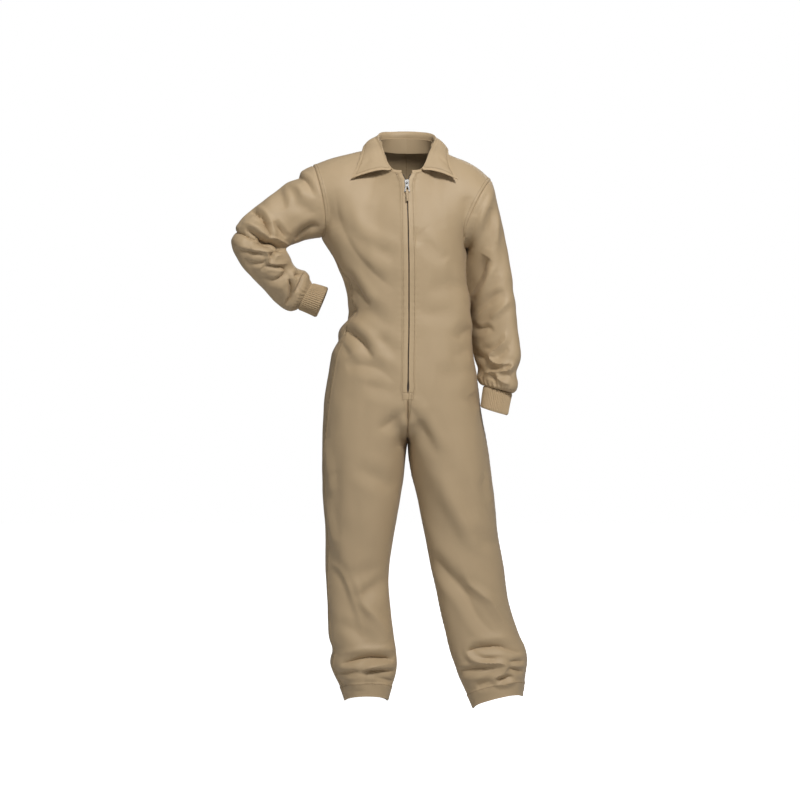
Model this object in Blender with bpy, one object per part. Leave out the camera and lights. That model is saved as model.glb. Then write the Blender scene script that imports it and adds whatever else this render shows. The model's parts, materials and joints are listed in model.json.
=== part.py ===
"""Child's boiler suit with a front zip, hollow and open as worn: right hand on the hip, left arm down.

The frame has +Z up, the front faces -Y, the wearer's left is +X, and the origin lies between the
shoulders. Tables and lengths are in millimetres, with `down` counted below the origin; MM turns them
into metres where a mesh is made.
"""

import math
from collections import namedtuple

import bmesh
import bpy
import numpy as np
from mathutils import Matrix, Vector

MM = 0.001

# ---------------------------------------------------------------- cloth and seams
CLOTH = 1.4          # thickness of the twill
STAND_CLOTH = 1.6    # thickness of the collar stand
FALL_CLOTH = 1.8     # thickness of the turned collar
KNIT = 1.6           # thickness of a rib cuff, without its ribs
SEAM_GAP = 0.3       # between neighbouring pieces
STAND_GAP = 0.55     # of that, kept by the collar stand, whose seam bends sharply at the shoulders
RAISE = 0.7          # how far a folded and stitched edge stands proud
PLACKET = 10.0       # width of the stitched strip beside the zip
STRIP_BELOW = 12.0   # how far that strip runs on below the zip
EDGE_STEP = 1.5      # width over which a stitched strip falls back to one layer
HEM = 27.0           # depth of the turned hem
MITRE_LIMIT = 1.5    # most that a wall is thickened across a bent seam
RIM_ORDER = (1.0, 0.37, 0.11)

# ---------------------------------------------------------------- main levels
CHEST = 178.0        # level of the row that joins the yoke to the lower body
FORK = 462.0         # where the body seam starts to turn under
CROTCH = 547.0       # lowest point of the body seam
ZIP_TOP = 66.0       # where the two zip edges part below the neck
ZIP_END = 455.0      # bottom of the zip
ZIP_HALF_GAP = 1.75  # half the gap between the folded edges over the zip
THIGH = 600.0        # below this the leg's fullest line lies mid-leg
KNEE = 700.0
ANKLE = 935.0

# ---------------------------------------------------------------- how finely each stretch is divided
YOKE_ROWS = 10
BODY_ROWS = 11
FORK_ROWS = 5
LEG_ROWS = 11
ANKLE_ROWS = 8
NECK_STEPS_FRONT = 4
NECK_STEPS_BACK = 5
SHOULDER_STEPS = 6
QUARTER_POINTS = 25
FORK_PULL = 0.5      # how far the columns are drawn to the inner edge at the fork
RELAX_REACH = 45.0   # how far from a joint of two stretches its rows are smoothed
RELAX_TIMES = 6
PATH_POINTS = 10

SIGN = {"right": -1.0, "left": 1.0}
FRONT, BACK = -1.0, 1.0

# ---------------------------------------------------------------- section tables
Trunk = namedtuple("Trunk", "down inner front back")
TRUNK = (
    Trunk(178, 8, -104, 98),
    Trunk(228, 9, -105, 95),
    Trunk(266, 9, -102, 90),
    Trunk(304, 9, -100, 86),
    Trunk(342, 9, -101, 91),
    Trunk(380, 8, -103, 102),
    Trunk(437, 7.5, -106, 114),
    Trunk(475, 7, -106, 117),
    Trunk(513, 7, -103, 114),
    Trunk(547, 7, -99, 107),
)

# the centre front and the centre back above the chest, up to the neck seam
Rise = namedtuple("Rise", "down inner front back")
RISE = (
    Rise(4, 5, -58, 50),
    Rise(20, 5, -62, 67),
    Rise(52, 5, -71, 84),
    Rise(64, 5, -77, 88),
    Rise(84, 6, -84, 93),
    Rise(112, 6.5, -92, 97),
    Rise(142, 7.5, -99, 99),
    Rise(178, 8, -104, 98),
)

Side = namedtuple("Side", "down outer seam side_y")
SIDES = {
    "right": (
        Side(167, -156, 90, 0),
        Side(190, -142, 84, 0),
        Side(228, -123, 74, 0),
        Side(266, -109, 68, 0),
        Side(304, -106, 66, 0),
        Side(342, -123, 66, 0),
        Side(380, -135, 67, 0),
        Side(437, -146, 68, 0),
        Side(475, -151, 69, 0),
        Side(513, -154, 69, 2),
        Side(547, -155.5, 69, 3),
    ),
    "left": (
        Side(190, 118, 90, 0),
        Side(206, 117, 90, -18),
        Side(250, 117, 90, -24),
        Side(285, 124, 92, -24),
        Side(330, 127, 92, -24),
        Side(361, 127, 92, -22),
        Side(380, 129.5, 92, -20),
        Side(418, 136, 92, -12),
        Side(437, 138.5, 92, -8),
        Side(475, 142, 92, -2),
        Side(513, 148, 92, 2),
        Side(547, 155.5, 92, 3),
    ),
}

Leg = namedtuple("Leg", "down inner outer front back seam side_y tilt")
LEGS = {
    "right": (
        Leg(589, 2, -156, -95, 98, 69, 4, 0),
        Leg(627, -2, -156, -90, 92, 69, 5, 0),
        Leg(665, -8, -154, -84, 87, 69, 6, 0),
        Leg(703, -15, -152, -78, 83, 69, 7, 0),
        Leg(741, -21, -149, -71, 79, 69, 8, 0),
        Leg(779, -27, -150, -65, 76, 69, 9, 0),
        Leg(817, -30, -149, -60, 73, 70, 9, 0),
        Leg(855, -28, -147, -57, 72, 70, 9, 0),
        Leg(893, -23, -146, -55, 71, 70, 9, 0),
        Leg(931, -18, -142, -54, 71, 70, 9, 0),
        Leg(952, -15, -136, -55, 71, 70, 9, 0),
        Leg(975, -13, -141, -55, 70, 70, 9, 0),
        Leg(1000, -16, -134, -51, 66, 71, 8, 0),
        Leg(1024, -24, -122, -47, 61, 73, 7, 0),
        Leg(1049, -31, -113, -44, 57, 75, 6, 0),
    ),
    "left": (
        Leg(589, 9.5, 162, -95, 98, 92, 4, 0),
        Leg(627, 17, 167, -90, 92, 92, 5, 0),
        Leg(665, 26.5, 171, -84, 87, 92, 6, 0.01),
        Leg(703, 34, 175, -78, 83, 92, 7, 0.025),
        Leg(741, 42.5, 180, -71, 79, 92, 8, 0.045),
        Leg(785, 50.5, 187.5, -64, 76, 92, 9, 0.07),
        Leg(825, 60, 192, -60, 73, 92, 9, 0.10),
        Leg(865, 69, 199, -57, 72, 92, 9, 0.13),
        Leg(905, 79, 209, -55, 71, 92, 9, 0.16),
        Leg(940, 88, 221, -54, 71, 92, 9, 0.19),
        Leg(965, 97, 232, -55, 71, 92, 9, 0.21),
        Leg(985, 104, 235, -54, 69, 92, 8, 0.22),
        Leg(1020, 118.5, 230, -48, 62, 92, 7, 0.24),
        Leg(1052, 132, 225, -44, 56, 92, 6, 0.247),
    ),
}
LEG_END = {side: table[-1].down for side, table in LEGS.items()}

TRUNK_POWER = 2.35        # squareness of a body section
LEG_POWER = 2.1           # squareness of a leg section
INSEAM_FORWARD = 12.0     # how far the inseam lies ahead of the mid-leg below the knee
HEM_LIFT = 15.0           # how far the front of a hem is raised over the shoe
SIDE_FADE = 110.0         # length over which the rows turn level below the underarm

# ---------------------------------------------------------------- neck, shoulders and armholes
NECK_X, NECK_Y = 5.0, 2.0
NECK_HALF_WIDTH = 62.0
NECK_FRONT, NECK_BACK = 73.0, 48.0
NECK_PIT, NECK_NAPE = 48.0, 4.0     # levels of the neck seam at the front and the back
NECK_CORNER = 170.0                 # angle of the front neck corner, counted from the nape
NECK_ROUND = 1.35                   # how round the yoke is from front to back beside the neck; 2 is an arc
NECK_SCOOP = 1.6                    # how soon the front of the neck seam drops to its pit
NECK_POINT_DOWN = {"right": -3.0, "left": 2.0}
SHOULDER_BULGE = {"right": 3.0, "left": 9.0}

Armhole = namedtuple("Armhole", "under under_down tip tip_down front back front_bow back_bow")
ARMHOLES = {
    "right": Armhole(-156, 167, -173, 31, 66, 68, 13, 8),
    "left": Armhole(118, 190, 165, 59, 64, 66, 16, 9),
}
BOW_SKEW = 0.35           # the armhole's hollow lies nearer the underarm

# ---------------------------------------------------------------- sleeves and cuffs
Ring = namedtuple("Ring", "step under_x under_y under_down over_x over_y over_down depth")
SLEEVES = {
    "right": (
        Ring(1, -171, -6, 169, -188, -4, 38, 63),
        Ring(2, -188, -10, 172, -204.5, -8, 53.5, 58),
        Ring(3, -199, -15, 176.5, -227, -14, 69, 54),
        Ring(4, -208, -21, 180, -249.5, -21, 87, 51),
        Ring(5, -215, -28, 183, -272, -29, 104.5, 49),
        Ring(6, -219.5, -35, 186, -291.5, -38, 120, 47),
        Ring(7, -221.5, -40, 187.5, -308, -46, 137, 46),
        Ring(8, -222, -43, 189.5, -319.5, -52, 156, 45),
        Ring(9, -221.5, -45, 192.5, -324, -55, 175, 45),
        Ring(10, -219.5, -45, 196, -321.5, -55, 191.5, 44),
        Ring(11, -216.5, -43, 201, -311.5, -52, 210, 43),
        Ring(12, -213, -39, 208, -297, -46, 231, 42),
        Ring(13, -210, -34, 216, -282.5, -39, 246, 41),
        Ring(14, -203.5, -28, 224, -268, -32, 261, 40),
        Ring(15, -195.5, -22, 228, -253.5, -25, 277.5, 39),
        Ring(16, -187, -16, 230, -240.5, -18, 292, 38),
        Ring(17, -180, -11, 238, -228, -12, 302, 36),
        Ring(18, -178, -7, 249, -214.5, -8, 306, 32),
        Ring(19, -174, -5, 254, -201, -5, 302, 25),
    ),
    "left": (
        Ring(1, 121, 5, 189, 170, -2, 72, 64),
        Ring(2, 122.5, 9, 193, 175, -4, 93, 61),
        Ring(3, 121.5, 13, 199, 180, -6, 114, 58),
        Ring(4, 119.5, 17, 207, 184.5, -9, 135, 56),
        Ring(5, 117, 20, 216, 188.5, -11, 155, 54),
        Ring(6, 114.5, 22, 227, 192.5, -13, 176, 53),
        Ring(7, 113, 23, 240, 197.5, -16, 200, 51),
        Ring(8, 115.5, 23, 262, 202, -20, 228.5, 49),
        Ring(9, 120.5, 22, 283, 206, -23, 253.5, 48),
        Ring(10, 123.5, 20, 308, 209.5, -27, 283.5, 46),
        Ring(11, 125, 18, 334, 212.5, -31, 315, 45),
        Ring(12, 127, 15, 361, 215, -35, 344, 44),
        Ring(13, 131, 10, 384, 218.5, -39, 369, 43),
        Ring(14, 135.5, 4, 403, 220, -42, 388, 42),
        Ring(15, 140.5, 0, 420, 216.5, -44, 407, 40),
        Ring(16, 143, -7, 433, 214.5, -46, 425.5, 38),
        Ring(17, 145, -13, 442, 214, -47, 444, 36),
        Ring(18, 148.5, -19, 445.5, 211, -46, 455, 32),
        Ring(19, 151, -24, 447, 203.5, -36, 461.5, 25),
    ),
}
CUFF_ENDS = {
    "right": Ring(1, -144.5, 12, 262, -167, 12, 317, 25.5),
    "left": Ring(1, 145, -30, 487.5, 194.5, -42, 502, 25.5),
}
CUFF_RIBS = 36
RIB_HEIGHT = 0.6
CUFF_EDGE = 1.5           # over which the ribs run out at the cuff's end
CUFF_START = 2.5          # over which they rise below the sleeve

# ---------------------------------------------------------------- collar
Stand = namedtuple("Stand", "turn rise lean")
STAND = (
    Stand(0, 28, 2),
    Stand(30, 26, 4.5),
    Stand(60, 21, 8.5),
    Stand(90, 14, 10.5),
    Stand(104, 16, 13.5),
    Stand(124, 17, 13.5),
    Stand(138, 12, 9.5),
    Stand(149, 7, 6.5),
    Stand(156, 4.5, 5),
    Stand(170, 4.5, 4),
)

# `turn` is counted round the neck from the nape, the wearer's right negative
Fall = namedtuple("Fall", "turn roll_x roll_y roll_down edge_x edge_y edge_down")
FALL = (
    Fall(-155, -23.5, -63.5, 40.5, -98.5, -69, 58.5),
    Fall(-149, -27.5, -59, 34, -94, -64, 49),
    Fall(-138, -34, -49.5, 22, -87.5, -54, 34),
    Fall(-124, -39.5, -35, 4, -82, -38, 15),
    Fall(-103, -45.5, -13, -12.5, -78.5, -15, 0),
    Fall(-90, -50, 2, -23, -77, 2, -6),
    Fall(-62, -46, 24, -33, -71, 32, 3),
    Fall(-30, -26, 44, -37, -45, 58, 9),
    Fall(0, 5, 51, -38, 5, 66, 12),
    Fall(30, 35, 44, -36, 53, 58, 13),
    Fall(62, 56, 24, -30, 80, 32, 8),
    Fall(90, 60, 2, -21, 84, 2, 0),
    Fall(103, 55.5, -13, -9, 84, -15, 7),
    Fall(124, 49.5, -35, 4, 85, -38, 23),
    Fall(138, 44, -49.5, 19, 90, -54, 40),
    Fall(149, 38, -59, 31, 95, -64, 51.5),
    Fall(155, 33.5, -63.5, 39.5, 100, -69, 60),
)
FALL_END = 4.0            # least angle between the fall's end and its next column
ROLL_CLEAR = 0.7          # between the roll's near side and the stand's top
FALL_ROLL = 2.6           # half the width of the roll at the collar's fold
FALL_BULGE = 8.0          # how far the fall rounds out between its roll and its edge
FALL_FOOT = 1.5           # how far the fall reaches down outside the stand

# ---------------------------------------------------------------- zip
COIL_HALF = 2.3
TAPE_IN = 1.05            # from the folded edge to the near edge of the tape
TAPE_CLOTH = 0.7
COIL_CLOTH = 1.5
ZIP_BEHIND = 0.4          # gap behind the cloth
ZIP_START = 50.0
COIL_OUT = 2.4            # how far an open row of coil shows beside the folded edge
COIL_CLOSE = 67.5         # where the two rows of coil meet
SLIDER_LEVEL = 69.0       # level of the pull's hinge
HINGE_HEIGHT = 4.0        # of the hinge above the cloth's face
BAIL_LEVEL = -1.0         # of the middle of the bail's arch, from the hinge

# ---------------------------------------------------------------- folds
# height is negative for a valley; a path is given as it is seen from `face`, in x (or y) and down
Fold = namedtuple("Fold", "piece face height width path")
FOLDS = (
    Fold("body", "front", -7.2, 14, ((-129, 78), (-96, 160), (-56, 196), (-18, 236))),
    Fold("body", "front", -5.4, 12, ((-108, 178), (-80, 216), (-50, 246), (-20, 272))),
    Fold("body", "front", 5.4, 13, ((-118, 148), (-78, 178), (-44, 208), (-14, 232))),
    Fold("body", "front", -8.1, 13, ((-102, 246), (-86, 272), (-66, 292))),
    Fold("body", "front", -6.3, 14, ((-104, 306), (-60, 312), (-20, 338))),
    Fold("body", "front", -9.0, 13, ((-114, 340), (-86, 362), (-58, 392))),
    Fold("body", "front", -7.2, 13, ((-106, 412), (-70, 402), (-40, 414), (-14, 438))),
    Fold("body", "front", -6.3, 14, ((36, 158), (56, 186), (78, 214))),
    Fold("body", "front", 5.4, 16, ((84, 160), (98, 190), (108, 226))),
    Fold("body", "front", -5.4, 20, ((44, 262), (76, 264), (106, 272))),
    Fold("body", "front", -6.3, 13, ((98, 364), (112, 348), (124, 342))),
    Fold("body", "front", -7.2, 14, ((10, 470), (38, 520), (62, 566))),
    Fold("body", "front", -5.4, 14, ((-44, 524), (-20, 512), (2, 496))),
    Fold("body", "front", -8.0, 17, ((40, 668), (90, 752), (136, 840), (176, 908))),
    Fold("body", "front", 5.6, 16, ((112, 780), (150, 842), (196, 908), (216, 930))),
    Fold("body", "front", -7.2, 17, ((-128, 790), (-106, 850), (-76, 902), (-58, 944))),
    Fold("body", "front", 4.8, 16, ((-100, 800), (-76, 858), (-48, 900), (-34, 930))),
    Fold("body", "front", -8.0, 10, ((-128, 975), (-92, 962), (-50, 958), (-16, 966))),
    Fold("body", "front", 5.8, 9, ((-130, 992), (-90, 976), (-50, 976), (-16, 984))),
    Fold("body", "front", -6.9, 8, ((-124, 998), (-84, 988), (-50, 996), (-18, 1006))),
    Fold("body", "front", -8.0, 9, ((124, 952), (170, 938), (200, 944), (226, 960))),
    Fold("body", "front", 5.8, 9, ((118, 966), (160, 960), (200, 966), (228, 972))),
    Fold("body", "front", -6.9, 9, ((108, 988), (146, 982), (184, 978), (206, 968))),
    Fold("body", "front", -5.8, 8, ((160, 1016), (180, 992), (208, 984), (226, 996))),
    Fold("body", "back", -9.0, 19, ((-130, 300), (-60, 326), (0, 330), (66, 320), (116, 300))),
    Fold("body", "back", 7.2, 19, ((-116, 276), (-50, 300), (20, 304), (104, 278))),
    Fold("body", "back", -7.2, 17, ((-136, 120), (-96, 190), (-50, 236), (-8, 258))),
    Fold("body", "back", -7.2, 17, ((128, 140), (96, 200), (54, 240), (14, 262))),
    Fold("body", "back", -9.0, 17, ((8, 480), (-34, 530), (-84, 566))),
    Fold("body", "back", -9.0, 17, ((8, 480), (54, 530), (100, 570))),
    Fold("body", "back", -10.8, 17, ((-138, 700), (-90, 724), (-36, 716))),
    Fold("body", "back", -10.8, 17, ((54, 712), (110, 730), (168, 706))),
    Fold("body", "back", -8.0, 10, ((-130, 966), (-80, 950), (-26, 962))),
    Fold("body", "back", 5.8, 10, ((-132, 984), (-80, 972), (-24, 984))),
    Fold("body", "back", -8.0, 10, ((108, 962), (160, 946), (218, 950))),
    Fold("body", "back", 5.8, 10, ((112, 984), (164, 966), (222, 968))),
    Fold("body", "left", -9.6, 34, ((14, 180), (14, 260), (12, 340), (8, 424))),
    Fold("sleeve_right", "front", -6.2, 10, ((-203, 52), (-180, 66), (-168, 92))),
    Fold("sleeve_right", "front", -5.0, 11, ((-226, 84), (-198, 98), (-172, 126))),
    Fold("sleeve_right", "front", -10.0, 9, ((-290, 120), (-268, 124), (-252, 146), (-246, 170))),
    Fold("sleeve_right", "front", 6.2, 9, ((-300, 132), (-276, 142), (-256, 166))),
    Fold("sleeve_right", "front", -11.2, 8, ((-318, 156), (-290, 166), (-258, 176), (-226, 184))),
    Fold("sleeve_right", "front", 6.2, 10, ((-296, 184), (-268, 182), (-244, 190))),
    Fold("sleeve_right", "front", -7.5, 9, ((-308, 196), (-276, 204), (-250, 204), (-232, 192))),
    Fold("sleeve_right", "front", 6.2, 9, ((-280, 214), (-252, 224), (-226, 216))),
    Fold("sleeve_right", "front", -6.2, 9, ((-276, 234), (-246, 242), (-222, 232))),
    Fold("sleeve_right", "front", -6.2, 9, ((-216, 244), (-214, 268), (-222, 292))),
    Fold("sleeve_right", "front", -7.5, 7, ((-184, 228), (-190, 246), (-202, 268))),
    Fold("sleeve_right", "back", -8.8, 10, ((-300, 140), (-266, 162), (-236, 178))),
    Fold("sleeve_right", "back", -8.8, 10, ((-306, 204), (-272, 200), (-240, 192))),
    Fold("sleeve_right", "back", -6.2, 11, ((-270, 250), (-240, 246), (-212, 232))),
    Fold("sleeve_left", "front", -5.0, 11, ((152, 88), (146, 150), (140, 214))),
    Fold("sleeve_left", "front", 4.4, 11, ((168, 90), (164, 160), (156, 230))),
    Fold("sleeve_left", "front", -7.5, 10, ((154, 212), (148, 244), (134, 282))),
    Fold("sleeve_left", "front", -6.2, 11, ((198, 264), (172, 276), (148, 314))),
    Fold("sleeve_left", "front", 5.0, 10, ((200, 282), (178, 300), (160, 330))),
    Fold("sleeve_left", "front", -7.5, 10, ((138, 340), (162, 340), (182, 352), (160, 376))),
    Fold("sleeve_left", "front", 7.5, 7, ((192, 362), (164, 392), (176, 406), (206, 404))),
    Fold("sleeve_left", "front", -7.5, 8, ((150, 392), (172, 418), (206, 420))),
    Fold("sleeve_left", "front", -6.2, 8, ((158, 430), (176, 440), (196, 440), (210, 452))),
    Fold("sleeve_left", "back", -7.5, 12, ((200, 290), (170, 310), (138, 306))),
    Fold("sleeve_left", "back", -7.5, 10, ((212, 380), (180, 396), (142, 390))),
    Fold("sleeve_left", "back", 6.2, 10, ((212, 404), (180, 418), (146, 412))),
)
FACES = {
    "front": (Vector((0, -1, 0)), 0),
    "back": (Vector((0, 1, 0)), 0),
    "right": (Vector((-1, 0, 0)), 1),
    "left": (Vector((1, 0, 0)), 1),
}
ZIP_GUARD = (4.0, 16.0)   # folds fade out over this distance from the centre front


# ================================================================ small tools
def ease(at, start, end):
    """0 before start, 1 after end, and a smooth rise between."""
    t = np.clip((at - start) / (end - start), 0, 1)
    return t * t * (3 - 2 * t)


def reading(table, name, at):
    """One column of a table at `at`, on a smooth line through its rows that never overshoots."""
    x = np.array([row[0] for row in table], float)
    y = np.array([getattr(row, name) for row in table], float)
    step = np.diff(x)
    slope = np.diff(y) / step
    before, after = slope[:-1], slope[1:]
    steady = before * after > 0
    total = np.where(steady, before + after, 1)
    middle = np.where(steady, 2 * before * after / total, 0)
    grade = np.concatenate([slope[:1], middle, slope[-1:]])
    at = np.clip(at, x[0], x[-1])
    i = np.clip(np.searchsorted(x, at, side="right") - 1, 0, len(step) - 1)
    t = (at - x[i]) / step[i]
    ends = y[i] * (1 + 2 * t) * (1 - t) ** 2 + y[i + 1] * t * t * (3 - 2 * t)
    bends = step[i] * (grade[i] * t * (1 - t) ** 2 - grade[i + 1] * t * t * (1 - t))
    return ends + bends


def along(points, places):
    """Points read from a polyline at distances from its start."""
    steps = np.linalg.norm(np.diff(points, axis=0), axis=1)
    run = np.concatenate([[0], np.cumsum(steps)])
    return np.stack([np.interp(places, run, points[:, k]) for k in range(points.shape[1])], 1)


def length(points):
    return float(np.linalg.norm(np.diff(points, axis=0), axis=1).sum())


def unit(vectors):
    size = np.linalg.norm(vectors, axis=-1, keepdims=True)
    return vectors / np.maximum(size, 1e-9)


# ================================================================ body sections
def zip_opening(down):
    """Half the distance between the two front edges at a level."""
    if down >= FORK:
        return 0.0
    if down >= ZIP_TOP:
        return ZIP_HALF_GAP
    corner = NECK_HALF_WIDTH * math.sin(math.radians(NECK_CORNER))
    return ZIP_HALF_GAP + (corner - ZIP_HALF_GAP) * (ZIP_TOP - down) / (ZIP_TOP - NECK_PIT)


def side_shift(side, down):
    """How far a row rises at the side, because the two underarms aren't at the chest's level."""
    rise = CHEST - ARMHOLES[side].under_down
    return rise * (1 - ease(down, CHEST, CHEST + SIDE_FADE))


def depth(side, name, down):
    return reading(TRUNK[:-1] + (Trunk(CROTCH, 7, -99, 107),) + LEGS[side], name, down)


def inner_edge(side, down, face):
    """The inner edge of a panel: centre front or back, then the fork, then the inseam."""
    name = "front" if face == FRONT else "back"
    inner = reading(TRUNK, "inner", down)
    if down > CROTCH:
        inner = reading((Trunk(CROTCH, TRUNK[-1].inner, 0, 0),) + LEGS[side], "inner", down)
    if face == FRONT:
        inner += SIGN[side] * zip_opening(down)
    if down <= FORK:
        return np.array([inner, depth(side, name, down)])
    if down <= CROTCH:
        sweep = (down - FORK) / (CROTCH - FORK)
        return np.array([inner, depth(side, name, FORK) * math.sqrt(max(0, 1 - sweep ** 2))])
    return np.array([inner, -INSEAM_FORWARD * ease(down, CROTCH, KNEE)])


def quarter(start, end, leaves_along_x, power):
    """A quarter of a rounded section from start to end, in x and y."""
    angle = np.linspace(0, math.pi / 2, QUARTER_POINTS)
    fall = np.maximum(np.cos(angle), 0) ** (2 / power)
    rise = np.sin(angle) ** (2 / power)
    if leaves_along_x:
        return np.stack([start[0] + (end[0] - start[0]) * rise, end[1] + (start[1] - end[1]) * fall], 1)
    return np.stack([end[0] + (start[0] - end[0]) * fall, start[1] + (end[1] - start[1]) * rise], 1)


def body_section(side, down):
    """One row of half the body: its outline in x and y, and where the side seam cuts it."""
    at_side = down - side_shift(side, down)
    table = SIDES[side] + LEGS[side]
    outer = reading(table, "outer", at_side)
    share = 0.5 * ease(down, FORK - 20, THIGH)
    power = TRUNK_POWER + (LEG_POWER - TRUNK_POWER) * ease(down, FORK, THIGH)
    front_edge = inner_edge(side, down, FRONT)
    back_edge = inner_edge(side, down, BACK)
    front_most = (front_edge[0] + share * (outer - front_edge[0]), depth(side, "front", down))
    back_most = (back_edge[0] + share * (outer - back_edge[0]), depth(side, "back", down))
    side_most = (outer, reading(table, "side_y", at_side))
    quarters = (
        quarter(front_edge, front_most, False, power),
        quarter(front_most, side_most, True, power),
        quarter(side_most, back_most, False, power),
        quarter(back_most, back_edge, True, power),
    )
    outline = np.concatenate(quarters)
    run = np.concatenate([[0], np.cumsum(np.linalg.norm(np.diff(outline, axis=0), axis=1))])
    seam_index = QUARTER_POINTS + reading(table, "seam", at_side) / 90 * (QUARTER_POINTS - 1)
    return outline, float(np.interp(seam_index, np.arange(len(run)), run)), outer


def spread(count, down):
    """Shares of a row from 1 at its inner edge to 0 at the side, drawn to the inner edge at the fork."""
    share = np.linspace(1, 0, count + 1)
    pull = FORK_PULL * ease(down, FORK - 60, CROTCH) * (1 - ease(down, CROTCH, CROTCH + 180))
    return share * (1 - pull) + share ** 3 * pull


def relaxed(grid, level, reach, fixed):
    """Smooth a panel along its columns near a level, all but its edges and its first `fixed` columns."""
    down = -grid[:, 0, 2]
    grid = grid.copy()
    for _ in range(RELAX_TIMES):
        before, here, after = grid[:-2], grid[1:-1], grid[2:]
        to_before = np.linalg.norm(here - before, axis=2, keepdims=True)
        to_after = np.linalg.norm(after - here, axis=2, keepdims=True)
        even = (before * to_after + after * to_before) / (to_before + to_after)
        weight = np.exp(-((down[1:-1] - level) / reach) ** 2)[:, None, None] * np.ones((1, grid.shape[1], 1))
        weight[:, :fixed] = 0
        weight[:, -1] = 0
        grid[1:-1] = here + (even - here) * weight * 0.6
    return grid


def body_row(side, down):
    """The front and the back panel's points of one row below the chest."""
    outline, seam, outer = body_section(side, down)
    front_share = spread(NECK_STEPS_FRONT + SHOULDER_STEPS, down)
    front_places = np.concatenate([[0, PLACKET], seam - (seam - PLACKET - EDGE_STEP) * front_share])
    back_share = spread(NECK_STEPS_BACK + SHOULDER_STEPS, down)
    back_places = seam + (length(outline) - seam) * back_share[::-1]
    inner = inner_edge(side, down, BACK)[0]
    middle = (inner + outer) / 2
    tilt = reading(LEGS[side], "tilt", down) if down > CROTCH else 0.0
    lift = HEM_LIFT * ease(down, ANKLE, LEG_END[side])
    rows = []
    for places in (front_places, back_places):
        flat = along(outline, places)
        share = np.clip((flat[:, 0] - inner) / (outer - inner), 0, 1)
        forward = np.clip(flat[:, 1] / depth(side, "front", down), 0, 1)
        z = -down + side_shift(side, down) * share ** 2 + tilt * (flat[:, 0] - middle) + lift * forward
        rows.append(np.column_stack([flat, z]))
    return rows


def body_levels(side):
    """Levels of the rows below the chest: closer at the fork and the ankle, and a pair at the hem seam."""
    end = LEG_END[side]
    body = np.linspace(CHEST, ZIP_END + EDGE_STEP, BODY_ROWS + 1)
    turn = np.arange(1, FORK_ROWS + 1) / FORK_ROWS * math.pi / 2
    fork = FORK + (CROTCH - FORK) * np.sin(turn)
    leg = np.linspace(CROTCH, ANKLE, LEG_ROWS + 1)[1:]
    ankle = np.linspace(ANKLE, end - HEM - EDGE_STEP, ANKLE_ROWS + 1)[1:]
    levels = [*body, FORK, *fork, *leg, *ankle, end - HEM, end - HEM / 2, end]
    return sorted(set(np.round(levels, 3)))


# ================================================================ yoke, neck and armholes
def neck_point(side, turn):
    """A point of the neck seam at an angle from the nape."""
    angle = math.radians(turn)
    reach = NECK_FRONT if turn > 90 else NECK_BACK
    end_down = NECK_PIT if turn > 90 else NECK_NAPE
    lean = abs(math.cos(angle))
    share = lean ** 1.3
    if turn > 90:
        share = 1 - (1 - share) ** NECK_SCOOP
    height = NECK_POINT_DOWN[side] + (end_down - NECK_POINT_DOWN[side]) * share
    x = NECK_X + SIGN[side] * NECK_HALF_WIDTH * math.sin(angle)
    return np.array([x, NECK_Y + math.copysign(reach * lean, math.cos(angle)), -height])


def neck_line(side, face):
    """The neck seam of one panel, from the centre to the shoulder."""
    start = NECK_CORNER if face == FRONT else 0.0
    line = np.array([neck_point(side, turn) for turn in np.linspace(start, 90, QUARTER_POINTS)])
    if face == BACK:
        return along(line, np.linspace(0, length(line), NECK_STEPS_BACK + 1))
    plain = np.linspace(PLACKET + EDGE_STEP, length(line), NECK_STEPS_FRONT + 1)
    return along(line, np.concatenate([[0, PLACKET], plain]))


def shoulder_line(side):
    """The shoulder seam from the neck to the sleeve, bowed up a little."""
    hole = ARMHOLES[side]
    start = neck_point(side, 90)
    end = np.array([hole.tip, 0.0, -hole.tip_down])
    t = np.linspace(0, 1, SHOULDER_STEPS + 1)[:, None]
    line = start + (end - start) * t
    line[:, 2] += SHOULDER_BULGE[side] * np.sin(math.pi * t[:, 0] ** 1.5)
    return line


def armhole(side, face, share):
    """A point of the armhole; share runs from 0 at the underarm to 1 at the shoulder."""
    hole = ARMHOLES[side]
    turn = math.acos(1 - 2 * share)
    reach = hole.front if face == FRONT else hole.back
    bow = hole.front_bow if face == FRONT else hole.back_bow
    x = hole.under + (hole.tip - hole.under) * share
    x -= SIGN[side] * bow * math.sin(turn) * (1 + BOW_SKEW * math.cos(turn))
    z = -hole.under_down + (hole.under_down - hole.tip_down) * share
    return np.array([x, face * reach * math.sin(turn) ** 0.9, z])


def yoke_shares():
    return [(1 - math.cos(math.pi * j / YOKE_ROWS)) / 2 for j in range(YOKE_ROWS + 1)]


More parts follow.
